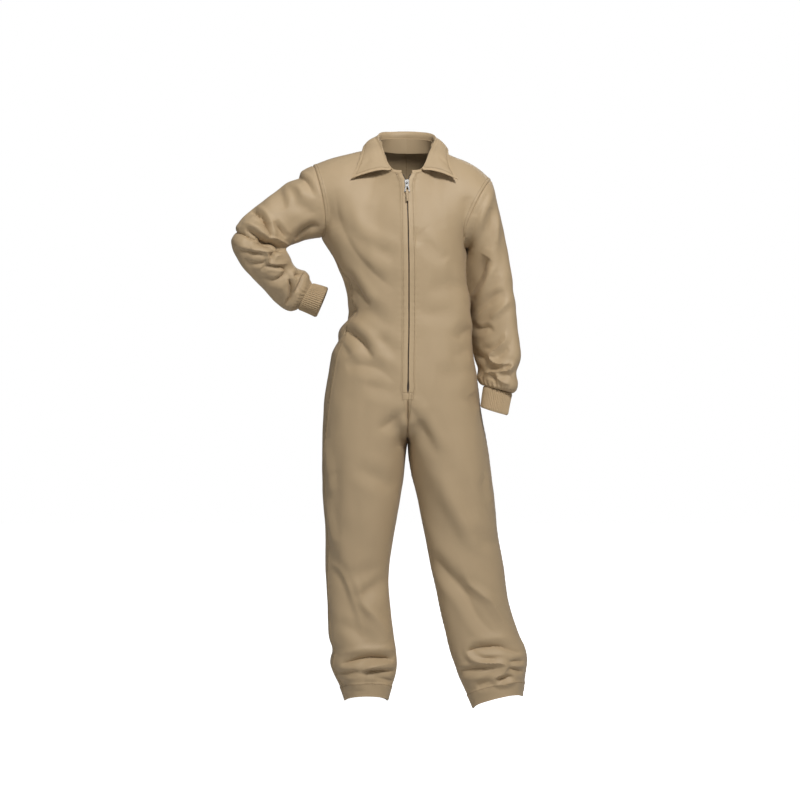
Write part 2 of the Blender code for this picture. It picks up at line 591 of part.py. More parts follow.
def yoke(side, face, bottom):
    """Rows of a panel above the chest row, from just above it up to the neck and the shoulder."""
    top = np.concatenate([neck_line(side, face), shoulder_line(side)[1:]])
    across = (bottom[:, 0] - bottom[0, 0]) / (bottom[-1, 0] - bottom[0, 0])
    turned = 1 - (1 - across ** TRUNK_POWER) ** (1 / TRUNK_POWER)
    roundness = NECK_ROUND + (2 - NECK_ROUND) * ease(across, 0.45, 1)
    name = "front" if face == FRONT else "back"
    rows = []
    for share in yoke_shares()[1:]:
        down = CHEST + (-top[0, 2] - CHEST) * share
        opening = zip_opening(down) if face == FRONT else 0.0
        centre = np.array([reading(RISE, "inner", down) + SIGN[side] * opening, reading(RISE, name, down), -down])
        centre_top = np.array([reading(RISE, "inner", -top[0, 2]), reading(RISE, name, -top[0, 2]), top[0, 2]])
        centre_top[0] += SIGN[side] * (zip_opening(-top[0, 2]) if face == FRONT else 0.0)
        centre += (top[0] - centre_top) * share ** 4
        edge = armhole(side, face, share)
        roll = 1 - (1 - share ** roundness) ** (1 / roundness)
        row = np.zeros_like(bottom)
        for axis in range(3):
            v = roll if axis == 1 else share
            u = turned if axis == 1 else across
            corners = (1 - u) * ((1 - v) * bottom[0, axis] + v * top[0, axis])
            corners += u * ((1 - v) * bottom[-1, axis] + v * top[-1, axis])
            ends = (1 - u) * centre[axis] + u * edge[axis]
            row[:, axis] = (1 - v) * bottom[:, axis] + v * top[:, axis] + ends - corners
        rows.append(row)
    return rows


def body_grids(side):
    """The outer faces of one half: the front from the centre to the side, the back from side to centre."""
    fronts, backs = [], []
    for down in body_levels(side):
        front, back = body_row(side, down)
        fronts.append(front)
        backs.append(back)
    front_yoke = yoke(side, FRONT, fronts[0])
    back_yoke = [row[::-1] for row in yoke(side, BACK, backs[0][::-1])]
    front = np.array(front_yoke[::-1] + fronts)
    back = np.array(back_yoke[::-1] + backs)[:, ::-1]
    for level in (CHEST, CROTCH):
        front = relaxed(front, level, RELAX_REACH, 3)
        back = relaxed(back, level, RELAX_REACH, 1)
    return front, back[:, ::-1]


# ================================================================ sleeves
def sleeve_ring(ring, columns):
    """A rounded section between its under and its over point, as deep as the table says."""
    under = np.array([ring.under_x, ring.under_y, -ring.under_down])
    over = np.array([ring.over_x, ring.over_y, -ring.over_down])
    turn = np.linspace(0, 2 * math.pi, columns + 1)[:, None]
    deep = np.array([0.0, -ring.depth, 0.0])
    points = (under + over) / 2 + (under - over) / 2 * np.cos(turn) + deep * np.sin(turn)
    points[-1] = points[0]
    return points


def sleeve_grid(side):
    shares = yoke_shares()
    ahead = [armhole(side, FRONT, share) for share in shares]
    behind = [armhole(side, BACK, share) for share in shares[::-1]]
    rings = [np.array(ahead + behind[1:])]
    rings += [sleeve_ring(ring, 2 * YOKE_ROWS) for ring in SLEEVES[side]]
    return np.array(rings)


# ================================================================ walls
class Wall:
    """One piece of cloth: the grid of its outer face, and what its inner face needs."""

    def __init__(self, name, grid, turn, closed=False, cloth=CLOTH, trim=(), gap=SEAM_GAP / 2):
        self.name = name
        self.grid = grid
        self.turn = turn
        self.closed = closed
        self.cloth = cloth
        self.trim = trim
        self.gap = gap
        self.normals = None
        self.mitre = None


def corners_of(grid):
    return grid[:-1, :-1], grid[:-1, 1:], grid[1:, 1:], grid[1:, :-1]


def share_normals(walls):
    """Give each point the mean normal of every face that meets there, over all pieces at once."""
    points = np.concatenate([wall.grid.reshape(-1, 3) for wall in walls])
    _, same = np.unique(np.round(points * 1000).astype(np.int64), axis=0, return_inverse=True)
    same = same.reshape(-1)
    total = np.zeros((same.max() + 1, 3))
    facing = np.zeros(same.max() + 1)
    count = np.zeros(same.max() + 1)
    jobs = []
    start = 0
    for wall in walls:
        rows, columns = wall.grid.shape[:2]
        index = same[start:start + rows * columns].reshape(rows, columns)
        start += rows * columns
        a, b, c, d = corners_of(wall.grid)
        face = unit(np.cross(c - a, b - d) * wall.turn)
        jobs.append((index, face))
        for corner in corners_of(index):
            np.add.at(total, corner.ravel(), face.reshape(-1, 3))
    total = unit(total)
    for index, face in jobs:
        flat = face.reshape(-1, 3)
        for corner in corners_of(index):
            np.add.at(facing, corner.ravel(), np.sum(flat * total[corner.ravel()], axis=1))
            np.add.at(count, corner.ravel(), 1)
    mitre = np.clip(1 / np.maximum(facing / np.maximum(count, 1), 0.1), 1, MITRE_LIMIT)
    for wall, (index, _) in zip(walls, jobs):
        wall.normals = total[index]
        wall.mitre = mitre[index]


def fork_normals(body):
    """Turn the normals along the fork seam square to the seam, where the two legs face each other."""
    for wall in body:
        column = 0 if wall.name.startswith("front") else -1
        down = -wall.grid[:, column, 2]
        ahead = FRONT if column == 0 else BACK
        rows = np.flatnonzero((down > FORK - 1) & (down < CROTCH + 1))
        for row in rows:
            sweep = min(max((down[row] - FORK) / (CROTCH - FORK), 0), 1)
            steep = math.sqrt(1 - sweep ** 2) * (CROTCH - FORK)
            normal = np.array([0.0, ahead * steep, -sweep * abs(wall.grid[rows[0], column, 1])])
            wall.normals[row, column] = unit(normal)


def smooth_path(path):
    """A fold's path as a smooth curve through its points."""
    points = np.array(path, float)
    places = np.arange(len(points))
    at = np.linspace(0, len(points) - 1, PATH_POINTS * (len(points) - 1) + 1)
    Row = namedtuple("Row", "place a b")
    table = [Row(place, *point) for place, point in zip(places, points)]
    return np.stack([reading(table, "a", at), -reading(table, "b", at)], 1)


def fold_height(points, normals, piece):
    """How far each point moves out, or in, for the folds of its piece."""
    moved = np.zeros(len(points))
    for fold in FOLDS:
        if fold.piece != piece:
            continue
        outward, first = FACES[fold.face]
        path = smooth_path(fold.path)
        seen = points[:, [first, 2]]
        start, step = path[:-1], np.diff(path, axis=0)
        size = np.maximum((step ** 2).sum(1), 1e-9)
        t = np.clip(((seen[:, None] - start) * step).sum(2) / size, 0, 1)
        gap = np.linalg.norm(seen[:, None] - (start + t[..., None] * step), axis=2)
        nearest = gap.argmin(1)
        row = np.arange(len(points))
        place = (nearest + t[row, nearest]) / len(step)
        taper = np.clip(4 * place * (1 - place), 0.02, 1) ** 0.5
        facing = ease(normals @ np.array(outward), 0.05, 0.5)
        moved += fold.height * np.exp(-(gap[row, nearest] / fold.width) ** 2) * taper * facing
    return moved


def zip_guard(points):
    """1 away from the zip and 0 beside it, so that the two front edges stay a pair."""
    centre = np.array([reading(TRUNK, "inner", -z) for z in points[:, 2]])
    beside = ease(np.abs(points[:, 0] - centre), *ZIP_GUARD)
    below = ease(-points[:, 2], FORK - 10, FORK + 40)
    return np.where(points[:, 1] < 0, np.maximum(beside, below), 1)


def fold_walls(walls, piece):
    for wall in walls:
        points = wall.grid.reshape(-1, 3)
        normals = wall.normals.reshape(-1, 3)
        moved = fold_height(points, normals, piece)
        if piece == "body":
            moved *= zip_guard(points)
        wall.grid = (points + normals * moved[:, None]).reshape(wall.grid.shape)


def pulled_back(line, normals, closed, turn):
    """Which way each point of an edge moves into its piece, to leave an even gap along it."""
    forward = np.diff(line, axis=0)
    before = np.concatenate([forward[-1:] if closed else forward[:1], forward])
    after = np.concatenate([forward, forward[:1] if closed else forward[-1:]])
    first = unit(np.cross(normals, before)) * turn
    second = unit(np.cross(normals, after)) * turn
    spread = np.maximum(1 + (first * second).sum(1, keepdims=True), 0.5)
    return (first + second) / spread


def trimmed(wall):
    """The outer face with its sewn edges drawn back by half the gap at a seam."""
    grid = wall.grid.copy()
    edges = {
        "top": (np.s_[0, :], -1),
        "bottom": (np.s_[-1, :], 1),
        "first": (np.s_[:, 0], 1),
        "last": (np.s_[:, -1], -1),
    }
    for name in wall.trim:
        edge, sign = edges[name]
        closed = wall.closed and name in ("top", "bottom")
        inward = pulled_back(wall.grid[edge], wall.normals[edge], closed, sign * wall.turn)
        grid[edge] += inward * wall.gap
    return grid


def add_mesh(name, outer, inner, closed, material):
    """A closed solid between an outer and an inner grid of points.

    The rims are split from the end that lies first in RIM_ORDER, so the two sides of a seam match.
    """
    mesh = bpy.data.meshes.new(name)
    bm = bmesh.new()
    rows, columns = outer.shape[:2]
    if closed:
        columns -= 1
    layers = []
    for grid in (outer, inner):
        layers.append([[bm.verts.new(grid[r, c] * MM) for c in range(columns)] for r in range(rows)])
    around = range(columns) if closed else range(columns - 1)
    for r in range(rows - 1):
        for c in around:
            n = (c + 1) % columns
            for layer in layers:
                bm.faces.new((layer[r][c], layer[r][n], layer[r + 1][n], layer[r + 1][c]))
    rims = [((r, c), (r, (c + 1) % columns)) for c in around for r in (0, rows - 1)]
    if not closed:
        rims += [((r, c), (r + 1, c)) for r in range(rows - 1) for c in (0, columns - 1)]
    for ends in rims:
        (r, c), (s, n) = sorted(ends, key=lambda at: outer[at] @ RIM_ORDER)
        bm.faces.new((layers[0][r][c], layers[0][s][n], layers[1][s][n]))
        bm.faces.new((layers[0][r][c], layers[1][s][n], layers[1][r][c]))
    bmesh.ops.recalc_face_normals(bm, faces=bm.faces)
    bm.to_mesh(mesh)
    bm.free()
    mesh.materials.append(material)
    mesh.shade_smooth()
    mesh.set_sharp_from_angle(angle=math.radians(50))
    item = bpy.data.objects.new(name, mesh)
    bpy.context.scene.collection.objects.link(item)
    return item


def add_wall(wall, material, raised=None):
    """Build a piece: its outer face, raised where it is double, over an inner face one cloth below."""
    outer = trimmed(wall)
    inner = outer - wall.normals * (wall.cloth * wall.mitre)[..., None]
    if raised is not None:
        outer = outer + wall.normals * raised[..., None]
    add_mesh(wall.name, outer, inner, wall.closed, material)
    return outer


def hem_raise(grid):
    """A turned hem stands proud on the last three rows."""
    raised = np.zeros(grid.shape[:2])
    raised[-3:, :] = RAISE
    return raised


def front_raise(grid):
    """A front stands proud at its hem and at the strip beside the zip."""
    raised = hem_raise(grid)
    raised[:, :2] += (-grid[:, :2, 2] < ZIP_END + STRIP_BELOW) * RAISE
    return raised


# ================================================================ collar
def stand_grid(fronts, backs):
    """The stand, from the right front corner round the nape to the left one; rows run upwards."""
    neck = SHOULDER_STEPS
    seam = np.concatenate([
        fronts["right"][0, :-neck],
        backs["right"][0, neck:][1:],
        backs["left"][0, neck:][::-1][1:],
        fronts["left"][0, :-neck][::-1][1:],
    ])
    middle = np.array([NECK_X, NECK_Y])
    top = seam.copy()
    for point in top:
        turn = abs(neck_turn(point))
        point[:2] += unit(middle - point[:2]) * reading(STAND, "lean", turn)
        point[2] += reading(STAND, "rise", turn)
    return np.array([seam, (seam + top) / 2, top])


def neck_turn(point):
    """The angle of a point round the neck, from the nape, the wearer's right negative."""
    reach = NECK_FRONT if point[1] < NECK_Y else NECK_BACK
    return math.degrees(math.atan2((point[0] - NECK_X) / NECK_HALF_WIDTH, (point[1] - NECK_Y) / reach))


def fall_grid(stand, normals):
    """The fall's visible face: from outside the stand's top, up over the roll and down to its edge."""
    turns = np.array([neck_turn(point) for point in stand[0]])
    foot = stand[-1] - unit(stand[-1] - stand[0]) * FALL_FOOT + normals[-1] * ROLL_CLEAR
    ends = [FALL[0].turn, FALL[-1].turn]
    places = sorted(ends + [turn for turn in turns if abs(turn) < ends[1] - FALL_END])
    up = np.array([0.0, 0.0, 1.0])
    columns = []
    for turn in places:
        row = {name: reading(FALL, name, turn) for name in Fall._fields}
        base, top = (np.array([np.interp(turn, turns, line[:, k]) for k in range(3)]) for line in (foot, stand[-1]))
        roll = np.array([row["roll_x"], row["roll_y"], -row["roll_down"]])
        rim = np.array([row["edge_x"], row["edge_y"], -row["edge_down"]])
        angle = math.radians(turn)
        reach = NECK_FRONT if abs(turn) > 90 else NECK_BACK
        out = unit(np.array([math.sin(angle) / NECK_HALF_WIDTH, math.cos(angle) / reach, 0.0]))
        roll += out * max(0, FALL_ROLL + ROLL_CLEAR - (roll - top) @ out)
        roll += up * max(0, FALL_ROLL + ROLL_CLEAR - (roll - top)[2])
        inner_roll = roll - out * FALL_ROLL - up * FALL_ROLL
        outer_roll = roll + out * FALL_ROLL - up * FALL_ROLL
        middle = outer_roll + (rim - outer_roll) * 0.4 + (out * 0.5 + up * 0.85) * FALL_BULGE
        shares = (0.25, 0.5, 0.75)
        fall = [outer_roll * (1 - t) ** 2 + middle * 2 * t * (1 - t) + rim * t ** 2 for t in shares]
        columns.append([base, inner_roll, roll, outer_roll, *fall, rim])
    return np.array(columns).transpose(1, 0, 2)


# ================================================================ cuffs
def add_cuff(side, material):
    """A rib cuff: ribs raised on its outer points over a plain inner face."""
    columns = 2 * CUFF_RIBS
    start = sleeve_ring(SLEEVES[side][-1], columns)
    end = sleeve_ring(CUFF_ENDS[side], columns)
    span = np.linalg.norm(end.mean(0) - start.mean(0))
    shares = (SEAM_GAP / span, CUFF_START / span, 1 - CUFF_EDGE / span, 1)
    axis = unit(end.mean(0) - start.mean(0))
    ribs = np.where(np.arange(columns + 1) % 2 == 0, RIB_HEIGHT, 0.0)
    rows, inners = [], []
    for k, share in enumerate(shares):
        ring = start + (end - start) * share
        middle = ring[:-1].mean(0)
        outward = ring - middle
        outward -= (outward @ axis)[:, None] * axis
        outward = unit(outward)
        height = ribs if 0 < k < 3 else np.zeros(columns + 1)
        rows.append(ring - outward * SEAM_GAP + outward * height[:, None])
        inners.append(ring - outward * (SEAM_GAP + KNIT))
    add_mesh("cuff_" + side, np.array(rows), np.array(inners), True, material)


# ================================================================ zip
def column_at(grid, column, down):
    """A point of a panel's column at a level."""
    line = grid[:, column]
    order = np.argsort(-line[:, 2])
    return np.array([np.interp(down, -line[order, 2], line[order, k]) for k in range(3)])


def zip_levels(grid, start, end):
    rows = [-z for z in grid[:, 0, 2] if start + 2 < -z < end - 2]
    return [start] + sorted(rows) + [end]


def add_strip(name, near, far, outward, first, cloth, material):
    """A flat strip between two lines of points, `first` behind the cloth's face."""
    front = np.stack([near, far], 1) - outward[:, None] * first
    add_mesh(name, front, front - outward[:, None] * cloth, False, material)


def outward_at(line, across):
    tangent = np.gradient(line, axis=0)
    return unit(np.cross(tangent, across))


def add_zip(fronts, tape, coil):
    behind = CLOTH + ZIP_BEHIND
    edges = {}
    for side, grid in fronts.items():
        levels = zip_levels(grid, ZIP_START, ZIP_END + 5)
        near = np.array([column_at(grid, 0, down) for down in levels])
        far = np.array([column_at(grid, 1, down) for down in levels])
        across = unit(far - near)
        outward = outward_at(near, across * SIGN[side])
        edges[side] = near
        add_strip("zip_tape_" + side, near + across * TAPE_IN, far, outward, behind, TAPE_CLOTH, tape)
        levels = np.linspace(ZIP_START, COIL_CLOSE - 1.5, 4)
        near = np.array([column_at(grid, 0, down) for down in levels])
        far = np.array([column_at(grid, 1, down) for down in levels])
        across = unit(far - near)
        outward = outward_at(near, across * SIGN[side])
        shown = np.array([min(COIL_OUT, 0.55 * zip_opening(down)) for down in levels])[:, None]
        add_strip("zip_coil_" + side, near - across * shown, near + across * 0.7, outward, behind, COIL_CLOTH, coil)
    levels = zip_levels(fronts["left"], COIL_CLOSE, ZIP_END)
    middle = np.array([(column_at(fronts["left"], 0, d) + column_at(fronts["right"], 0, d)) / 2 for d in levels])
    across = np.tile([1.0, 0.0, 0.0], (len(levels), 1))
    outward = outward_at(middle, across)
    coil_behind = behind + 0.05
    add_strip("zip_coil_closed", middle - across * COIL_HALF, middle + across * COIL_HALF, outward,
              coil_behind, COIL_CLOTH, coil)


def hinge_frame(fronts):
    """Where the pull turns: its place, and the directions across, up the zip and out of the cloth."""
    def middle(down):
        return (column_at(fronts["left"], 0, down) + column_at(fronts["right"], 0, down)) / 2
    up = unit(middle(SLIDER_LEVEL - 1) - middle(SLIDER_LEVEL + 8))
    out = unit(np.cross(np.array([1.0, 0.0, 0.0]), up))
    across = np.cross(up, out)
    place = middle(SLIDER_LEVEL) + out * HINGE_HEIGHT
    turn = Matrix((across, up, out)).transposed().to_4x4()
    return Matrix.Translation(Vector(place * MM)) @ turn


def extruded(name, outline, axis, start, end, bevel=0.0):
    """A solid from an outline in millimetres, pushed along one axis of the hinge's frame."""
    order = {"across": (2, 0, 1), "out": (0, 1, 2)}[axis]
    bm = bmesh.new()
    ring = []
    for a, b in outline:
        values = (a, b, start)
        ring.append(bm.verts.new(Vector([values[k] for k in order]) * MM))
    face = bm.faces.new(ring)
    push = Vector([(0, 0, end - start)[k] for k in order]) * MM
    swept = bmesh.ops.extrude_face_region(bm, geom=[face])
    moved = [item for item in swept["geom"] if isinstance(item, bmesh.types.BMVert)]
    bmesh.ops.translate(bm, verts=moved, vec=push)
    bmesh.ops.recalc_face_normals(bm, faces=bm.faces)
    if bevel:
        sharp = [edge for edge in bm.edges if edge.calc_face_angle(0) > math.radians(60)]
        bmesh.ops.bevel(bm, geom=sharp, offset=bevel * MM, segments=1, affect="EDGES", clamp_overlap=True)
    mesh = bpy.data.meshes.new(name)
    bm.to_mesh(mesh)
    bm.free()
    item = bpy.data.objects.new(name, mesh)
    bpy.context.scene.collection.objects.link(item)
    return item


def combine(base, other, operation):
    """Join a helper to a base, or cut it from it, by a Boolean; the helper is only a guide."""
    other.hide_render = True
    other.display_type = "WIRE"
    change = base.modifiers.new(other.name, "BOOLEAN")
    change.operation = operation
    change.object = other
    change.solver = "EXACT"


def shield(half_top, half_bottom, top, bottom):
    """A slider's plate: round shoulders at the top, narrower below."""
    right = [(half_bottom, bottom), (half_top, top - 4), (half_top, top - 1.5), (half_top - 1.5, top)]
    return right + [(-a, b) for a, b in right[::-1]]


def arch(half, rise, foot, thick):
    """A bail seen from the side: a round arch over the hinge, its feet at a level in the plate."""
    turns = [math.pi * k / 8 for k in range(9)]
    outer = [(half * math.cos(t), BAIL_LEVEL + rise * math.sin(t)) for t in turns]
    inner = [((half - thick) * math.cos(t), BAIL_LEVEL + (rise - thick) * math.sin(t)) for t in turns[::-1]]
    return [(half, foot)] + outer + [(-half, foot), (thick - half, foot)] + inner + [(half - thick, foot)]


def add_slider(frame, metal):
    """The slider: a face plate over the cloth, a back plate, the neck between them and the pull's bail."""
    face = -HINGE_HEIGHT + RAISE + 0.4
    top, bottom = 7.0, -6.5
    plate = extruded("zip_slider", shield(4.2, 3.2, top, bottom), "out", face, face + 1.6, 0.25)
    post = [(-1, top - 0.3), (-0.8, top - 3.2), (0.8, top - 3.2), (1, top - 0.3)]
    neck = extruded("slider_neck", post, "out", face - 6.6, face + 0.8)
    back = extruded("slider_back", shield(4.0, 3.2, top, bottom + 2), "out", face - 7.2, face - 6.2)
    bail = extruded("slider_bail", arch(2.6, 3.2, face + 0.9, 1.0), "across", -0.7, 0.7)
    for item in (neck, back, bail):
        combine(plate, item, "UNION")
    for item in (plate, neck, back, bail):
        item.matrix_world = frame
    plate.data.materials.append(metal)
    return plate


def add_pull(frame, hinge, metal, cloth):
    """The metal pull, an A with an eye at its top, and the cloth tab that hangs from its foot."""
    sides = [(2.3, 0.6), (-2.3, 0.6), (-4.6, -14.6), (-5.2, -18.0), (5.2, -18.0), (4.6, -14.6)]
    pull = extruded("zip_pull", sides, "out", -0.6, 0.6, 0.2)
    eye = extruded("pull_eye", [(1.5, -0.6), (-1.5, -0.6), (-1.7, -3.6), (1.7, -3.6)], "out", -2, 2)
    window = extruded("pull_window", [(0.5, -7.0), (-0.5, -7.0), (-3.2, -15.4), (3.2, -15.4)], "out", -2, 2)
    combine(pull, eye, "DIFFERENCE")
    combine(pull, window, "DIFFERENCE")
    tab_sides = [(2.3, -18.3), (-2.3, -18.3), (-2.3, -37.0), (2.3, -37.0)]
    tab = extruded("zip_pull_tab", tab_sides, "out", -0.7, 0.7, 0.2)
    pull.data.materials.append(metal)
    tab.data.materials.append(cloth)
    for item in (pull, eye, window, tab):
        item.matrix_world = frame
    for item in (pull, tab):
        item.parent = hinge
        item.matrix_parent_inverse = hinge.matrix_world.inverted()


# ================================================================ the whole suit
def make_material(name, colour, roughness, metallic=0.0):
    material = bpy.data.materials.new(name)
    material.use_nodes = True
    shader = material.node_tree.nodes["Principled BSDF"]
    shader.inputs["Base Color"].default_value = (*colour, 1)
    shader.inputs["Roughness"].default_value = roughness
    shader.inputs["Metallic"].default_value = metallic
    return material


def clear_scene():
    for item in list(bpy.data.objects):
        bpy.data.objects.remove(item, do_unlink=True)


def build_suit():
    clear_scene()
    twill = make_material("twill", (0.36, 0.27, 0.18), 0.8)
    knit = make_material("rib_knit", (0.36, 0.27, 0.18), 0.9)
    tape = make_material("zip_tape", (0.30, 0.23, 0.15), 0.85)
    coil = make_material("zip_coil", (0.06, 0.05, 0.04), 0.5)
    metal = make_material("nickel", (0.75, 0.75, 0.74), 0.25, 1.0)

    fronts, backs, body, sleeves = {}, {}, [], {}
    for side, sign in SIGN.items():
        front, back = body_grids(side)
        body.append(Wall("front_" + side, front, sign, trim=("top", "first", "last")))
        body.append(Wall("back_" + side, back, sign, trim=("top", "first", "last")))
        sleeves[side] = Wall("sleeve_" + side, sleeve_grid(side), sign, closed=True, trim=("top", "bottom"))
        fronts[side], backs[side] = front, back
    stand = Wall("collar_stand", stand_grid(fronts, backs), 1.0, cloth=STAND_CLOTH, trim=("top",), gap=STAND_GAP)
    everything = body + list(sleeves.values()) + [stand]
    share_normals(everything)
    fold_walls(body, "body")
    for side, sleeve in sleeves.items():
        armhole_row = sleeve.grid[0].copy()
        fold_walls([sleeve], "sleeve_" + side)
        sleeve.grid[0] = armhole_row
    keep_armholes(body, sleeves)
    share_normals(everything)
    fork_normals(body)

    for wall in body:
        raised = front_raise(wall.grid) if wall.name.startswith("front") else hem_raise(wall.grid)
        add_wall(wall, twill, raised)
    for sleeve in sleeves.values():
        add_wall(sleeve, twill)
    stand_outer = add_wall(stand, twill)

    fall = Wall("collar_fall", fall_grid(stand_outer, stand.normals), -1.0, cloth=FALL_CLOTH)
    share_normals([fall])
    fall.mitre = np.ones_like(fall.mitre)
    add_wall(fall, twill)
    for side in SIGN:
        add_cuff(side, knit)

    edges = {wall.name[6:]: trimmed(wall) for wall in body if wall.name.startswith("front")}
    add_zip(edges, tape, coil)
    frame = hinge_frame(edges)
    hinge = bpy.data.objects.new("pull_hinge", None)
    hinge.matrix_world = frame
    bpy.context.scene.collection.objects.link(hinge)
    add_slider(frame, metal)
    add_pull(frame, hinge, metal, twill)


def keep_armholes(body, sleeves):
    """Put the sleeve's first ring on the panels' armhole points, wherever folds have moved them."""
    panels = {wall.name: wall.grid for wall in body}
    for side, sleeve in sleeves.items():
        ahead = panels["front_" + side][:YOKE_ROWS + 1, -1][::-1]
        behind = panels["back_" + side][:YOKE_ROWS + 1, 0]
        sleeve.grid[0] = np.concatenate([ahead, behind[1:]])


build_suit()
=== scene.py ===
"""Looks of a child's boiler suit, laid out as an add-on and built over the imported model.

Every piece of cloth is a thin shell on the form of its solid: the same tables and sections give a coarse
grid, a smooth curve through it gives a fine one, and folds, seams and hems are worked into that. Sections
and folds are in millimetres, with `down` counted below the origin between the shoulders; MM turns them
into metres where a mesh is made.
"""

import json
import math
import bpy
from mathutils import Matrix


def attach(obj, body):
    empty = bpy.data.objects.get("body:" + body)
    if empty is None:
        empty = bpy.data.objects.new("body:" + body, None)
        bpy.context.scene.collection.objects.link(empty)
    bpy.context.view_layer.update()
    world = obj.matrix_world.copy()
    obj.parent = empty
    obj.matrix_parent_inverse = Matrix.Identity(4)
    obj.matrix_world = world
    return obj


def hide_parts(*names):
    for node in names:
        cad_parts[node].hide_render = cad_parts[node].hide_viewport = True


bl_info = {
    "name": "Boiler Suit",
    "version": (1, 0, 0),
    "blender": (4, 5, 0),
    "location": "View3D > Sidebar > Boiler Suit",
    "description": "Builds the cloth, seams, cuffs, collar and zip of a worn boiler suit",
    "category": "Object",
}

from collections import namedtuple
from functools import lru_cache

import bmesh
import bpy
import numpy as np
from bpy.props import FloatProperty, FloatVectorProperty, IntProperty, PointerProperty
from bpy.types import Operator, Panel, PropertyGroup
from mathutils import Vector

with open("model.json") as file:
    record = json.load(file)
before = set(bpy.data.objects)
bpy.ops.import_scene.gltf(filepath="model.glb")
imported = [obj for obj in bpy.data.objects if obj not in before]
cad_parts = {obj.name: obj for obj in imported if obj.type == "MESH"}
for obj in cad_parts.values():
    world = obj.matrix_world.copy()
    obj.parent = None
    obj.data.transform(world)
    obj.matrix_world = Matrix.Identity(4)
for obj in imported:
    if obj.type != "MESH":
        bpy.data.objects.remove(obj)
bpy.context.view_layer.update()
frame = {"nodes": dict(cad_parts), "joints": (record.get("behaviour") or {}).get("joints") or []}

MM = 0.001
SUIT_BODY, PULL_BODY = "suit", "pull"
SIDES = ("right", "left")


# ================================================================ sizes of the cut
CHEST = 178.0        # level of the row that joins the yoke to the lower body
FORK = 462.0         # where the body seam starts to turn under
CROTCH = 547.0       # lowest point of the body seam
ZIP_TOP = 66.0       # where the two zip edges part below the neck
ZIP_END = 455.0      # bottom of the zip
ZIP_HALF_GAP = 1.75  # half the gap between the folded edges over the zip
THIGH = 600.0        # below this the leg's fullest line lies mid-leg
KNEE = 700.0
ANKLE = 935.0
PLACKET = 10.0       # width of the stitched strip beside the zip
EDGE_STEP = 1.5      # width over which a stitched strip falls back to one layer
HEM = 27.0           # depth of the turned hem

# rows and columns of the coarse grids
YOKE_ROWS = 10
BODY_ROWS = 11
FORK_ROWS = 5
LEG_ROWS = 11
ANKLE_ROWS = 8
NECK_STEPS_FRONT = 4
NECK_STEPS_BACK = 5
SHOULDER_STEPS = 6
QUARTER_POINTS = 25
FORK_PULL = 0.5      # how far the columns are drawn to the inner edge at the fork
PULL_ABOVE, PULL_BELOW = 60, 180     # over this distance above the fork and below the crotch
FULLEST = 0.5        # place across a leg of its fullest line, from the inseam
FULLEST_ABOVE = 20   # how far above the fork that line starts to move there
RELAX_REACH = 45.0   # how far from a joint of two stretches its rows are smoothed
RELAX_TIMES = 6
RELAX_SHARE = 0.6    # of the way to an even spacing that one smoothing goes
NECK_LEAN = 1.3      # how soon the neck seam leaves the shoulder's level
SHOULDER_PLACE = 1.5  # how near to its tip the shoulder bows up most
ARMHOLE_ROUND = 0.9  # squareness of the armhole from the side
NECK_SIDE = 0.45     # share of the yoke's width from which it rounds as at the armhole
MISS_FADE = 4        # power by which a centre line is brought onto the neck seam
PATH_POINTS = 10     # steps of a fold's path between two of its given points

SIGN = {"right": -1.0, "left": 1.0}
FRONT, BACK = -1.0, 1.0
FACE_NAMES = {FRONT: "front", BACK: "back"}
EDGES = ("first", "last", "top", "bottom")


# ---------------------------------------------------------------- section tables
Trunk = namedtuple("Trunk", "down inner front back")
TRUNK = (
    Trunk(178, 8, -104, 98),
    Trunk(228, 9, -105, 95),
    Trunk(266, 9, -102, 90),
    Trunk(304, 9, -100, 86),
    Trunk(342, 9, -101, 91),
    Trunk(380, 8, -103, 102),
    Trunk(437, 7.5, -106, 114),
    Trunk(475, 7, -106, 117),
    Trunk(513, 7, -103, 114),
    Trunk(547, 7, -99, 107),
)

# the centre front and the centre back above the chest, up to the neck seam
Rise = namedtuple("Rise", "down inner front back")
RISE = (
    Rise(4, 5, -58, 50),
    Rise(20, 5, -62, 67),
    Rise(52, 5, -71, 84),
    Rise(64, 5, -77, 88),
    Rise(84, 6, -84, 93),
    Rise(112, 6.5, -92, 97),
    Rise(142, 7.5, -99, 99),
    Rise(178, 8, -104, 98),
)

Side = namedtuple("Side", "down outer seam side_y")
FLANKS = {
    "right": (
        Side(167, -156, 90, 0),
        Side(190, -142, 84, 0),
        Side(228, -123, 74, 0),
        Side(266, -109, 68, 0),
        Side(304, -106, 66, 0),
        Side(342, -123, 66, 0),
        Side(380, -135, 67, 0),
        Side(437, -146, 68, 0),
        Side(475, -151, 69, 0),
        Side(513, -154, 69, 2),
        Side(547, -155.5, 69, 3),
    ),
    "left": (
        Side(190, 118, 90, 0),
        Side(206, 117, 90, -18),
        Side(250, 117, 90, -24),
        Side(285, 124, 92, -24),
        Side(330, 127, 92, -24),
        Side(361, 127, 92, -22),
        Side(380, 129.5, 92, -20),
        Side(418, 136, 92, -12),
        Side(437, 138.5, 92, -8),
        Side(475, 142, 92, -2),
        Side(513, 148, 92, 2),
        Side(547, 155.5, 92, 3),
    ),
}

